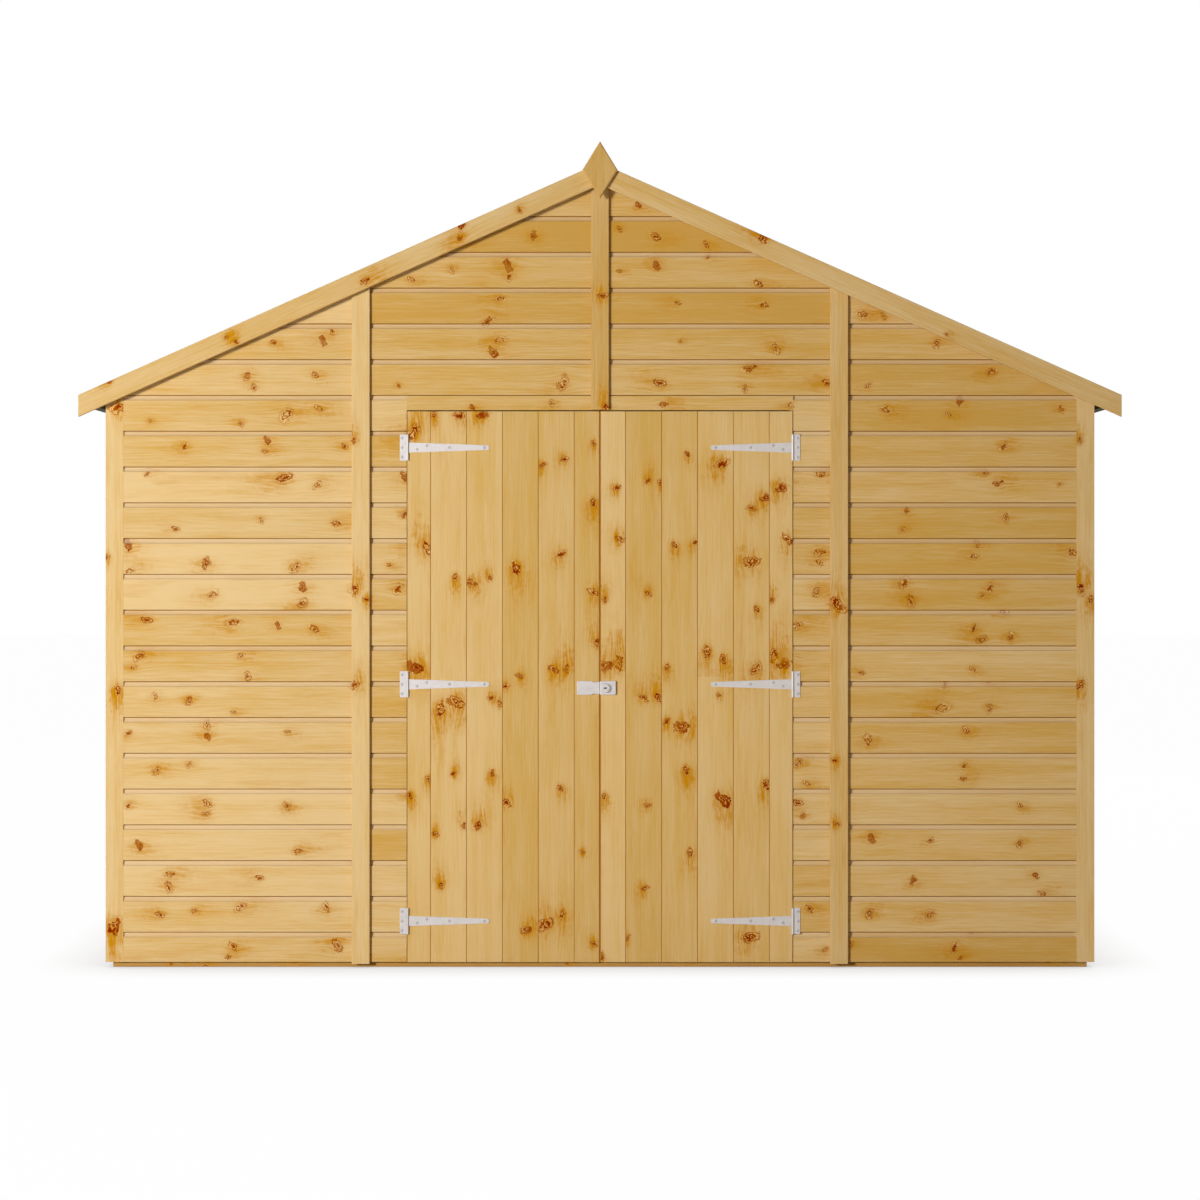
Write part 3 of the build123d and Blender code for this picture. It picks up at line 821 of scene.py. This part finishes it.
def timbers_in(node):
    """Corner points of each solid in a node: corners at one place are one point, and faces that share a
    point belong together, found by passing the lowest label along until nothing changes."""
    mesh = frame["nodes"][node].data
    points, same = np.unique(np.round(vertex_places(mesh), 6), axis=0, return_inverse=True)
    triangles = same.ravel()[triangle_corners(mesh)].reshape(-1, 3)
    label = np.arange(len(points))
    while True:
        before = label.copy()
        np.minimum.at(label, triangles, label[triangles].min(1)[:, None])
        if (label == before).all():
            return [points[label == solid] for solid in np.unique(label)]


def ring(points, axis):
    """Points in order round an axis."""
    helper = X if abs(axis[0]) < 0.5 else Y
    u = np.cross(axis, helper)
    v = np.cross(axis, u)
    around = points - points.mean(0)
    return points[np.argsort(np.arctan2(around @ v, around @ u))]


def set_back(outline, distance):
    """The two points that replace each corner of a closed outline: the corner moved along either edge."""
    after, before = np.roll(outline, -1, 0) - outline, np.roll(outline, 1, 0) - outline
    return outline + unit(before) * distance, outline + unit(after) * distance


def loft(points, axis, stations, ease):
    """A timber between its two end outlines: each corner becomes two points set back along its edges, and
    the section moves straight from one end to the other. An upright with a peak is cut level at its
    shoulders."""
    peaked = len(points) == PEAKED_CORNERS and abs(axis[2]) > 0.9
    count = BOX_CORNERS if peaked else len(points)
    order = np.argsort(points @ axis)[:count]
    outlines = (ring(points[part], axis) for part in (order[: count // 2], order[count // 2:]))
    first, last = (np.stack(set_back(outline, ease), 1).reshape(-1, 3) for outline in outlines)
    u = np.linspace(0, 1, stations)[:, None, None]
    return first * (1 - u) + last * u


# %% Make a piece of timbers
def timber_piece(name, nodes, axis, across, material=frame_pine, body="shed", knots=None,
                 ease=EDGE_EASE, step=TIMBER_STEP, spacing=KNOT_SPACING, solids=None, tone=0.0):
    """All timbers of some nodes as one piece, with the grain along an axis given for all or worked out for
    each."""
    solids = solids or [solid for node in nodes for solid in timbers_in(node)]
    axes = [unit(np.asarray(axis(solid) if callable(axis) else axis, float)) for solid in solids]
    longest = max(np.ptp(solid @ a) for solid, a in zip(solids, axes))
    stations = 2 + int(longest / step)
    mesh = closed_mesh(name, np.stack([loft(solid, a, stations, ease) for solid, a in zip(solids, axes)]))
    grain_layers(mesh, len(solids), np.array(axes), np.cross(axes, across), knots, None, spacing, tone)
    dress(name, mesh, material, body, nodes)


def down_slope(sign):
    """Along the roof's slope, on the left (-1) or the right (1)."""
    return np.array([math.cos(pitch), 0, -math.sin(pitch) * sign])


def own_slope(solid):
    """Along the slope on the side of the ridge where the timber lies."""
    return down_slope(np.sign(solid[:, 0].mean()))


def longest_way(solid):
    """The line between the middles of the two ends, for braces and other slanting timbers."""
    order = np.argsort(solid[:, 2])
    half = len(solid) // 2
    return solid[order[half:]].mean(0) - solid[order[:half]].mean(0)


# %% [markdown]
# ## Trim
# Strips cover the corners and the joints between panels, and barge boards close the ends of the roof. They
# are the same planed timbers in the trim's own pine, with the front's knots where the photograph has them.

# %% Trim on the front and back
TRIM_STEP = 0.04
CORNER_EASE = 0.4 * MM
for name, node, ease, tone in (
    ("corner_boards", "corner_strips", CORNER_EASE, 0.3),
    ("joint_cover_boards", "panel_cover_strips", EDGE_EASE, 0.2),
    # The gable's centre strip is painted darker, as painted shade like the gable's boards
    ("gable_centre_board", "gable_centre_strip", EDGE_EASE, -0.6),
):
    timber_piece(name, [node], Z, Y, trim_pine, knots=knots_on(Z, -X), ease=ease, step=TRIM_STEP, tone=tone)
for end in ("front", "back"):
    for side, sign in SIDES:
        way = down_slope(sign)
        knots = knots_on(way, np.cross(way, Y)) if end == "front" else None
        timber_piece(f"{end}_{side}_barge_board", [f"{end}_{side}_barge"], way, Y, trim_pine, knots=knots,
                     step=TRIM_STEP)

# %% [markdown]
# ## Framing
# Behind the cladding stand studs and rails, with purlins, rafters and a collar under the roof, bearers
# under the floor, and ledges and braces on the doors. They show when the doors are open. One list gives
# each piece its grain direction and the direction that its grain is laid out across.

# %% Framing, floor bearers and door ledges
BATTEN_STEP = 0.1
BEARER_KNOTS, LEDGE_KNOTS = 1.2, 0.35
RAIL_SHAPE = 4


def rail_way(solid):
    """Level rails run along X, and the sloping ones under the roof follow it."""
    return X if np.ptp(solid[:, 2]) < RAIL_SHAPE * np.ptp(solid[:, 1]) else own_slope(solid)


for name, nodes, axis, across in (
    ("wall_studs", ["front_wall_studs", "back_wall_studs"], Z, Y),
    ("side_studs", ["side_wall_studs"], Z, X),
    ("side_rails", ["side_wall_rails"], Y, X),
    ("purlins", ["roof_purlins"], Y, Z),
    ("ridge_beam", ["ridge_board"], Y, X),
    ("rafters", ["truss_rafters"], own_slope, Y),
    ("collar", ["truss_collar"], X, Y),
):
    timber_piece(name, nodes, axis, across)
timber_piece("eaves_boards", ["eaves_battens"], Y, X, deck_pine, step=BATTEN_STEP)
timber_piece("bearers", ["floor_bearers"], X, Y, bearer_pine, spacing=BEARER_KNOTS)
timber_piece("wall_rails", ["front_wall_rails", "back_wall_rails"], rail_way, Y)
for side, _ in SIDES:
    body = f"{side}_door"
    timber_piece(f"{side}_door_ledge_boards", [f"{body}_ledges"], X, Y, body=body, spacing=LEDGE_KNOTS)
    timber_piece(f"{side}_door_brace_boards", [f"{body}_braces"], longest_way, Y, body=body)

# %% [markdown]
# ## Door stops
# A thin upright on each door post stops the leaf and closes the gap at its hinges to the light. It has no
# node of its own, so its eight corners are worked out from the doorway and lofted as the other timbers are.

# %% Stops behind the door edges
STOP_WIDE = 10 * MM
STOP_CLEAR = 0.8 * MM
STOP_DEEP = 14 * MM
STOP_EASE = 1 * MM


def bar(low, high):
    """The eight corners of an upright box."""
    return np.stack(np.meshgrid(*zip(low, high), indexing="ij"), -1).reshape(-1, 3)


stop_near = front + door_thick + STOP_CLEAR
stop_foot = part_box("front_wall_studs")[0].z
uprights = [
    bar((x - STOP_WIDE / 2, stop_near, stop_foot), (x + STOP_WIDE / 2, stop_near + STOP_DEEP, doorway_head))
    for x in (STOP_WIDE / 2 - half_doorway, half_doorway - STOP_WIDE / 2)
]
timber_piece("door_stops", [], longest_way, Y, solids=uprights, ease=STOP_EASE)

# %% [markdown]
# ## Finials
# A diamond of planed board hides the joint of the barge boards at each end of the ridge. It is a flat prism
# with its front edge planed off all round, so a section carried over three stations is enough.

# %% Diamonds at the ends of the ridge
CHAMFER_DEEP = 3 * MM
CHAMFER_RUN = 3.6 * MM
EDGE_POINTS = 6


def carried(sections, y):
    """Points (x, z) carried along Y: one section for all stations, or one for each."""
    points = np.zeros((1, len(y), np.shape(sections)[-2], 3))
    points[..., [0, 2]] = sections
    points[..., 1] = y[:, None]
    return points


finial_low, finial_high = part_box("finials")
finial_middle = (finial_high.z + finial_low.z) / 2
finial_thick = np.ptp(timbers_in("finials")[0][:, 1])
corner = np.array([[0, 1], [1, 0], [0, -1], [-1, 0]]) * [finial_high.x, finial_high.z - finial_middle]
share = np.linspace(0, 1, EDGE_POINTS, endpoint=False)[None, :, None]
outline = (corner[:, None] * (1 - share) + np.roll(corner, -1, 0)[:, None] * share).reshape(-1, 2)
back = finial_high.y - np.array([finial_thick, CHAMFER_DEEP, 0])
size = np.array([1, 1, 1 - CHAMFER_RUN / finial_high.x])
sections = outline * size[:, None, None] + (0, finial_middle)
# The front one is carried the other way, so its outline goes round the other way
points = np.concatenate([carried(sections[:, ::-1], -back), carried(sections, back)])
mesh = closed_mesh("ridge_diamonds", points)
grain_layers(mesh, 2, Z, X, knots=[], tone=-0.3)
dress("ridge_diamonds", mesh, trim_pine, nodes=["finials"])

# %% [markdown]
# ## Mineral felt
# The roof is covered with bitumen felt faced with crushed stone. Grains of a millimetre would be far too
# many faces, so the stone is fine noise with a slow mottle from weathering, in colour, roughness and bump.

# %% Felt finish
FELT_DARK, FELT_PALE = srgb(34, 40, 36), srgb(86, 98, 86)
GRIT_SCALE, MOTTLE_SCALE = 520, 3.0
STONE_RELIEF = 1.0 * MM

felt, w, shader = new_material("roof_felt")
at = w.node("TexCoord", out="Object")
grit = w.noise(at, scale=GRIT_SCALE, detail=3.0, rough=0.7)
mottle = w.noise(at, scale=MOTTLE_SCALE, detail=3.0)
w.feed(shader, {
    "Base Color": (grit * 0.8 + mottle * 0.3).ease(0.4, 0.72).mix(FELT_DARK, FELT_PALE),
    "Roughness": 0.82 + grit * 0.15,
    "Normal": w.bump(0.6, STONE_RELIEF, grit + mottle * 1.5),
})
print("felt finish:", len(w.tree.nodes), "nodes")

# %% [markdown]
# ## Strips of felt
# Felt is laid in two strips on each slope, the upper lapped over the lower, turned under at the eaves and
# capped along the ridge. A thin sheet with Solidify would do, but the step of the lap and the fold round
# the batten are plainer as one closed outline carried along the shed.

# %% Lay the felt
LAP_SHARE = 0.55
LAP_STEP = 1.3 * MM
LAP_SLANT = 1 * MM
FOLD_THICK = 2 * MM
FOLD_CLEAR = 1 * MM
FELT_STEPS, CAP_STEPS, FELT_STATIONS = 14, 15, 26

felt_low, felt_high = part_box("left_roof_felt")
cap_low, cap_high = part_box("ridge_felt")
felt_out, deck_out = -felt_low.x, -deck_low.x
lap_at = felt_out * LAP_SHARE
batten = timbers_in("eaves_battens")[0]
fold_in, batten_low = np.abs(batten[:, 0]).min(), batten[:, 2].min()
fold_top = float(roof_under(fold_in)) - FOLD_CLEAR


def falling(top, x):
    """Points at distances from the ridge, on a line that falls with the roof from a height at the ridge."""
    return np.column_stack([x, top - slope * np.abs(x)])


def felt_piece(name, node, section, low, high):
    """A closed section of (x, z) points carried along Y."""
    points = carried(section, np.linspace(low.y, high.y, FELT_STATIONS))
    dress(name, closed_mesh(name, points), felt, nodes=[node])


felt_section = np.concatenate([
    falling(felt_high.z, np.linspace(0, lap_at, FELT_STEPS)),
    falling(felt_high.z - LAP_STEP, np.linspace(lap_at + LAP_SLANT, felt_out, FELT_STEPS)),
    [(felt_out, felt_low.z), (fold_in - FOLD_THICK, felt_low.z), (fold_in - FOLD_THICK, fold_top)],
    [(fold_in, fold_top), (fold_in, batten_low), (deck_out, batten_low)],
    falling(deck_high.z, np.linspace(deck_out, 0, FELT_STEPS)),
])
for side, sign in SIDES:
    felt_piece(f"{side}_felt_strips", f"{side}_roof_felt", felt_section * (sign, 1), felt_low, felt_high)
cap_x = np.linspace(-cap_high.x, cap_high.x, CAP_STEPS)
cap_section = np.concatenate([falling(cap_high.z, cap_x), falling(felt_high.z, cap_x[::-1])])
felt_piece("ridge_felt_cap", "ridge_felt", cap_section, cap_low, cap_high)

# %% [markdown]
# ## Zinc
# Hinges, screws and nails are zinc plated: a soft grey shine with a faint spangle. The hinge leaves keep
# the shape from the frame. A screw head is painted darker, and the cross in it darker still, as painted
# shade of the countersunk head and its recess. The cross is drawn in the shader from a layer that holds
# each point's place on the head, because a modelled cross would take more faces than the whole screw.

# %% Zinc and lock finishes
SCREW_HEAD_SHADE = srgb(120, 116, 114)
MOTTLE, SCRATCH = 70, 600
METAL_RELIEF = 0.3 * MM
ARM_WIDE, ARM_LONG = (0.2, 0.12), (0.66, 0.58)


def zinc(name, colour, grain=1.0, rough=0.38):
    """Plated steel: a slow mottle and fine scratches drawn out along X; on screw heads, painted shade
    over the head and a darker cross of two bars."""
    material, w, shader = new_material(name)
    x, y, z = w.node("TexCoord", out="Object").parts()
    mottle = w.noise(w.place(x, y, z), scale=MOTTLE)
    scratch = w.noise(w.place(x * grain, y, z), scale=SCRATCH)
    u, v, head = w.layer("head").parts()
    u, v = u.math("ABSOLUTE", u), v.math("ABSOLUTE", v)
    cross = (u.ease(*ARM_WIDE) * v.ease(*ARM_LONG)).most(v.ease(*ARM_WIDE) * u.ease(*ARM_LONG))
    shaded = tuple(c * 0.86 for c in colour[:3]) + (1,)
    grey = (mottle * 0.5 + scratch * 0.5).ease(0.25, 0.75).mix(shaded, colour)
    w.feed(shader, {
        # Screw heads painted darker, and their cross darker still: painted shade of the recesses
        "Base Color": (head * 0.35 + cross * head * 0.3).mix(grey, SCREW_HEAD_SHADE),
        "Metallic": 0.4,
        "Roughness": rough + mottle * 0.15,
        "Normal": w.bump(0.15, METAL_RELIEF, scratch - cross * head * 3),
    })
    return material


zinc_steel = zinc("zinc_steel", srgb(198, 192, 190))
lock_metal = zinc("lock_metal", srgb(202, 197, 196), grain=0.1, rough=0.34)
for node in ("hinge_plates", "left_door_hinge_straps", "right_door_hinge_straps"):
    frame["nodes"][node].data.materials.clear()
    frame["nodes"][node].data.materials.append(zinc_steel)
print("hinges carry", zinc_steel.name)

# %% [markdown]
# ## Nails in the felt
# Clout nails hold the felt along the laps and the edges. Their heads are turned parts, so each is a few
# rings about an axis that stands square to the slope. Copies of one object would do, but one array makes
# all of them a single piece.

# %% Clout nails
NAIL_SPACING = 0.1
NAIL_INSET = 0.02
NAIL_RADIUS = 5 * MM
NAIL_SIDES, HEAD_SIDES = 10, 12
NAIL_RINGS = [(1.0, -0.5 * MM), (1.0, 0.4 * MM), (0.8, 0.9 * MM), (0.3, 1.1 * MM)]
ROW_ENDS, SLOPE_ENDS = (0.05, 0.04), (0.06, 0.03)
ASKEW = X + 0.3 * Z


def heads(name, centres, normal, radius, rings, material, body="shed", sides=HEAD_SIDES, crossed=False):
    """Round heads about a normal: each ring has a share of the radius and a height, and the ends are
    closed. The layer head holds each point's place on its head, and 1 where the head gets the painted
    shade and cross."""
    centres = np.asarray(centres, float)
    normal = np.broadcast_to(np.asarray(normal, float), centres.shape)
    u = unit(np.cross(normal, ASKEW))
    v = np.cross(normal, u)
    flat = np.linspace(0, 2 * np.pi, sides, endpoint=False)
    angle = (flat + dice.random(len(centres))[:, None])[..., None]
    share, rise = np.array(rings).T
    way = u[:, None] * np.cos(angle) + v[:, None] * np.sin(angle)
    points = centres[:, None, None] + way[:, None] * (share * radius)[:, None, None]
    points = points + normal[:, None, None] * rise[:, None, None]
    mesh = closed_mesh(name, points)
    layer = np.zeros(points.shape)
    layer[..., 0], layer[..., 1] = np.cos(flat) * share[:, None], np.sin(flat) * share[:, None]
    layer[..., 2] = (rise > 0)[:, None] * crossed
    add_layer(mesh, "head", "FLOAT_VECTOR", "POINT", layer)
    dress(name, mesh, material, body)


along_y = np.arange(felt_low.y + ROW_ENDS[0], felt_high.y - ROW_ENDS[1], NAIL_SPACING)
along_x = np.arange(cap_high.x + SLOPE_ENDS[0], felt_out - SLOPE_ENDS[1], NAIL_SPACING)
rows = [(cap_high.x - NAIL_INSET, y, cap_high.z) for y in along_y]
rows += [(lap_at - NAIL_INSET, y, felt_high.z) for y in along_y]
rows += [(x, y, felt_high.z - LAP_STEP * (x > lap_at)) for x in along_x
         for y in (felt_low.y + NAIL_INSET, felt_high.y - NAIL_INSET)]
nails = np.array(rows) - np.array(rows)[:, [0]] * (0, 0, slope)
tilt = np.array([math.sin(pitch), 0, math.cos(pitch)])
mirror = (-1, 1, 1)
both = np.concatenate([nails, nails * mirror])
tilts = np.repeat([tilt, tilt * mirror], len(nails), axis=0)
heads("felt_nails", both, tilts, NAIL_RADIUS, NAIL_RINGS, zinc_steel, sides=NAIL_SIDES)

# %% [markdown]
# ## Screws in the hinges
# Each strap has four screws and each plate three. Their places are measured from the hinge's axis, so the
# left and the right hinges use one list.

# %% Drive the screws
LEAF = 2.5 * MM
SCREW_RADIUS = 5.0 * MM
SCREW_RINGS = [(1.0, -0.4 * MM), (1.0, 0.1 * MM), (0.85, 0.45 * MM), (0.5, 0.6 * MM), (0.12, 0.65 * MM)]
STRAP_SCREWS = np.array([(29, -5.5), (58, 5.5), (127, 0), (233, 0)]) * MM
PLATE_SCREWS = np.array([(-16.5, 29), (-16.5, 0), (-16.5, -29)]) * MM

axis_x = abs(frame["joints"][0]["pos_m"][0])
for side, sign in SIDES:
    straps = timbers_in(f"{side}_door_hinge_straps")
    levels = [(solid[:, 2].min() + solid[:, 2].max()) / 2 for solid in straps]
    for name, body, spots in (("strap", f"{side}_door", STRAP_SCREWS), ("plate", "shed", PLATE_SCREWS)):
        centres = [(sign * (axis_x - away), front - LEAF, level + up)
                   for level in levels for away, up in spots]
        heads(f"{side}_{name}_screws", centres, -Y, SCREW_RADIUS, SCREW_RINGS, zinc_steel, body, crossed=True)

# %% [markdown]
# ## The lock's plates
# A rim lock has a keeper with a waisted neck on one leaf and a case on the other. Both are flat plates with
# rounded corners and a bevelled face. A Bevel modifier would round them as well, but the outline as an
# array shows how a rounded corner is made: a curve between two points set back along its edges.

# %% Lock plates
PLATE_ROUND = 2.5 * MM
PLATE_BEVEL = 1.2 * MM
MEETING_CLEAR = 0.4 * MM
NECK_LONG = 24 * MM
NECK_NOTCH = 3.2 * MM
TIP_NOTCH = 1.92 * MM
CASE_DEEP = 9 * MM
ROUND_STEPS = 4


def rounded(corners, radius):
    """An outline whose corners are curves: (1-t) squared times the start, 2t(1-t) times the corner, t
    squared times the end."""
    corners = np.asarray(corners, float)
    start, end = (points[:, None] for points in set_back(corners, radius))
    t = np.linspace(0, 1, ROUND_STEPS)[None, :, None]
    return ((1 - t) ** 2 * start + 2 * t * (1 - t) * corners[:, None] + t ** 2 * end).reshape(-1, 2)


def plate(name, node, outline, back, face, body):
    """A flat plate facing the front: its outline goes straight from back to face, and shrinks over the
    bevel."""
    way = unit(np.roll(outline, -1, 0) - np.roll(outline, 1, 0))
    inward = np.column_stack([-way[:, 1], way[:, 0]])
    middle = (outline.max(0) + outline.min(0)) / 2
    inward = inward * np.sign((inward * (middle - outline)).sum())
    y = np.array([back, face + PLATE_BEVEL, face + PLATE_BEVEL * 0.3, face])
    shrink = np.array([0, 0, 0.35, 1])[:, None, None] * PLATE_BEVEL
    dress(name, closed_mesh(name, carried(outline + inward * shrink, y)), lock_metal, body, [node])


keep_low, keep_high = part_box("lock_keeper")
case_low, case_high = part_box("lock_case")
neck = -MEETING_CLEAR - NECK_LONG
lower_edge = [(keep_low.x, 0), (neck, 0), (neck + NECK_NOTCH, NECK_NOTCH), (-MEETING_CLEAR, TIP_NOTCH)]
keeper_outline = [(x, keep_low.z + rise) for x, rise in lower_edge]
keeper_outline += [(x, keep_high.z - rise) for x, rise in lower_edge[::-1]]
case_outline = [(MEETING_CLEAR, case_low.z), (case_high.x, case_low.z), (case_high.x, case_high.z),
                (MEETING_CLEAR, case_high.z)]
keeper_outline, case_outline = rounded(keeper_outline, PLATE_ROUND / 2), rounded(case_outline, PLATE_ROUND)
plate("lock_keeper_plate", "lock_keeper", keeper_outline, keep_high.y, keep_low.y, "left_door")
plate("lock_case_plate", "lock_case", case_outline, case_high.y, case_high.y - CASE_DEEP, "right_door")

# %% [markdown]
# ## The lock's cylinder
# The cylinder stands out of the case with a turned rim and a groove round its face. It is a head with more
# rings, and the keyway is a thin bar painted with the slot's shade, let into its face, because a slot of this
# size would only show as a dark line of shade.

# %% Lock cylinder
BOSS_RADIUS = 13.5 * MM
BOSS_SIDES = 48
BOSS_SEAT = 8.5 * MM
# Share of the radius, and millimetres below the crown
BOSS_PROFILE = [(1.0, 2.2), (0.96, 0.8), (0.88, 0.2), (0.68, 0.2),
                (0.66, 1.0), (0.6, 1.0), (0.58, 0.1), (0.2, 0.1)]
CROWN_CLEAR = 0.1 * MM
SLOT_LONG, SLOT_TALL, SLOT_PROUD, SLOT_EASE = 9.6 * MM, 4.6 * MM, 0.2 * MM, 0.1 * MM
KEYWAY_SHADE, KEYWAY_DUST_AND_SHADE = srgb(20, 18, 16), srgb(52, 48, 44)
DUST_SCALE = 900

case_points = np.concatenate(timbers_in("lock_case"))
crown = case_points[case_points[:, 1] < case_low.y + CROWN_CLEAR]
boss_middle = (crown.min(0) + crown.max(0)) / 2
boss_middle[1] = case_high.y - BOSS_SEAT
stand = boss_middle[1] - case_low.y
boss_rings = [(1.0, 0)] + [(share, stand - drop * MM) for share, drop in BOSS_PROFILE]
heads("lock_cylinder", [boss_middle], -Y, BOSS_RADIUS, boss_rings, lock_metal, "right_door", BOSS_SIDES)

# The keyway's colour is painted shade of the slot, mottled with a little dust
keyway, w, shader = new_material("keyway")
dust_on_shade = w.noise(w.node("TexCoord", out="Object"), scale=DUST_SCALE)
w.feed(shader, {"Base Color": dust_on_shade.mix(KEYWAY_SHADE, KEYWAY_DUST_AND_SHADE), "Roughness": 0.7})
half_slot = np.array([SLOT_LONG / 2, SLOT_PROUD, SLOT_TALL / 2])
slot_middle = boss_middle - (0, stand - SLOT_PROUD, 0)
slot_box = loft(bar(slot_middle - half_slot, slot_middle + half_slot), X, 2, SLOT_EASE)
dress("lock_keyway", closed_mesh("lock_keyway", slot_box[None]), keyway, "right_door")
print(f"lock: cylinder stands {stand / MM:.1f} mm off its plate")

# %% [markdown]
# ## Camera
# The picture was taken straight on. The camera is level, so the uprights stay upright, and its frame is
# shifted a little because the lens was higher than the middle of the picture; tilting it would make the
# walls lean.

# %% Set up the camera
CAMERA_AWAY = 9.0
LENS_HEIGHT = 1.235
FRAME_PIXELS = 1200
SENSOR = 36.0

frame_wide = FRAME_PIXELS * MM_PER_PIXEL * MM
middle_height = (PIXEL_GROUND - FRAME_PIXELS / 2) * MM_PER_PIXEL * MM


def set_up(name, data, at, turn):
    """Puts a camera or a lamp into the scene."""
    placed = bpy.data.objects.new(name, data)
    placed.location, placed.rotation_euler = at, turn
    bpy.context.scene.collection.objects.link(placed)
    return placed


camera = bpy.data.cameras.new("camera")
camera.sensor_width = SENSOR
camera.lens = SENSOR * CAMERA_AWAY / frame_wide
camera.shift_y = (middle_height - LENS_HEIGHT) / frame_wide
camera_place = (0, front - CAMERA_AWAY, LENS_HEIGHT)
bpy.context.scene.camera = set_up("camera", camera, camera_place, (math.pi / 2, 0, 0))
print(f"lens {camera.lens:.1f} mm at {CAMERA_AWAY} m")

# %% [markdown]
# ## Lamps
# A soft lamp stands far to the left of the photographed shed, so its light falls off towards the right, and
# a weak warm one stands for light that comes back from the ground. Three more light the sides and the back,
# for other views. A sun lamp would be simpler, but would light both ends of the front alike.

# %% Set up the lamps
WHITE, WARM = (1, 1, 1), (1.0, 0.78, 0.48)


def lamp(name, at, aim, size, watts, colour=WHITE):
    """A square soft lamp that faces a point."""
    data = bpy.data.lights.new(name, "AREA")
    data.size, data.energy, data.color = size, watts, colour
    set_up(name, data, at, (Vector(aim) - Vector(at)).to_track_quat("-Z", "Y").to_euler())
    print(f"{name}: {watts} W, {size} m across")


lamp("key", (-4.3, -7.5, 1.8), (0, front, 1.0), 1.1, 470)
lamp("ground_fill", (2.6, -5.4, 0.6), (0.3, front, 0.9), 2.0, 16, WARM)
lamp("back_fill", (3.0, 7.0, 4.5), (0, 1.2, 1.0), 4.0, 250)
for side, sign in SIDES:
    lamp(f"{side}_fill", (sign * 8.0, 1.5, 3.5), (sign * half_width, 0, 1.0), 3.0, 280)

# %% [markdown]
# ## White studio
# The floor and the background are white in the picture without throwing more light on the shed: rays
# straight from the camera, or by way of a mirror, see white, and all others see a plain floor and a dim
# warm sky. The floor keeps the contact shadow, which Ambient Occlusion measures close to the walls.

# %% Floor and world
FLOOR_REACH = 40.0
FLOOR_GREY = (0.55, 0.55, 0.55, 1)
CONTACT_REACH = 0.25
AMBIENT = 0.09
BOUNCE = (1.0, 0.84, 0.64, 1)
PURE_WHITE = (1, 1, 1, 1)
DIRECT_RAYS = ("Is Camera Ray", "Is Glossy Ray", "Is Transmission Ray")


def seen_directly(w):
    """1 for rays from the camera or from a mirror or glass, so that they meet plain white."""
    camera_ray, glossy, through = (w.node("LightPath", out=name) for name in DIRECT_RAYS)
    return camera_ray.most(glossy).most(through)


floor_corners = np.array([(-1, -1, 0), (1, -1, 0), (1, 1, 0), (-1, 1, 0)]) * FLOOR_REACH
floor_mesh = bpy.data.meshes.new("studio_floor")
floor_mesh.from_pydata(floor_corners, [], [(0, 1, 2, 3)])
studio_floor = bpy.data.objects.new("studio_floor", floor_mesh)
bpy.context.scene.collection.objects.link(studio_floor)

floor_paint, w, shader = new_material("studio_white")
w.feed(shader, {"Base Color": FLOOR_GREY, "Roughness": 0.9})
glow = w.node("Emission", None, {"Color": PURE_WHITE, "Strength": 1.0})
open_sky = w.node("AmbientOcclusion", {"samples": 4}, {"Distance": CONTACT_REACH}, out="AO")
share = seen_directly(w) * (open_sky * 0.55 + 0.435)
blend = w.node("MixShader", None, {0: share, 1: Wire(w.tree, shader.outputs[0]), 2: glow})
w.feed(w.tree.nodes["Material Output"], {"Surface": blend})
floor_mesh.materials.append(floor_paint)

world = bpy.data.worlds.new("studio")
world.use_nodes = True
bpy.context.scene.world = world
w = Wire(world.node_tree)
sky = seen_directly(w)
background = next(n for n in world.node_tree.nodes if n.type == "BACKGROUND")
w.feed(background, {"Color": sky.mix(BOUNCE, PURE_WHITE), "Strength": sky * (1 - AMBIENT) + AMBIENT})
bpy.context.scene.view_settings.view_transform = "Standard"
print("studio:", floor_paint.name, "floor and", world.name, "world")
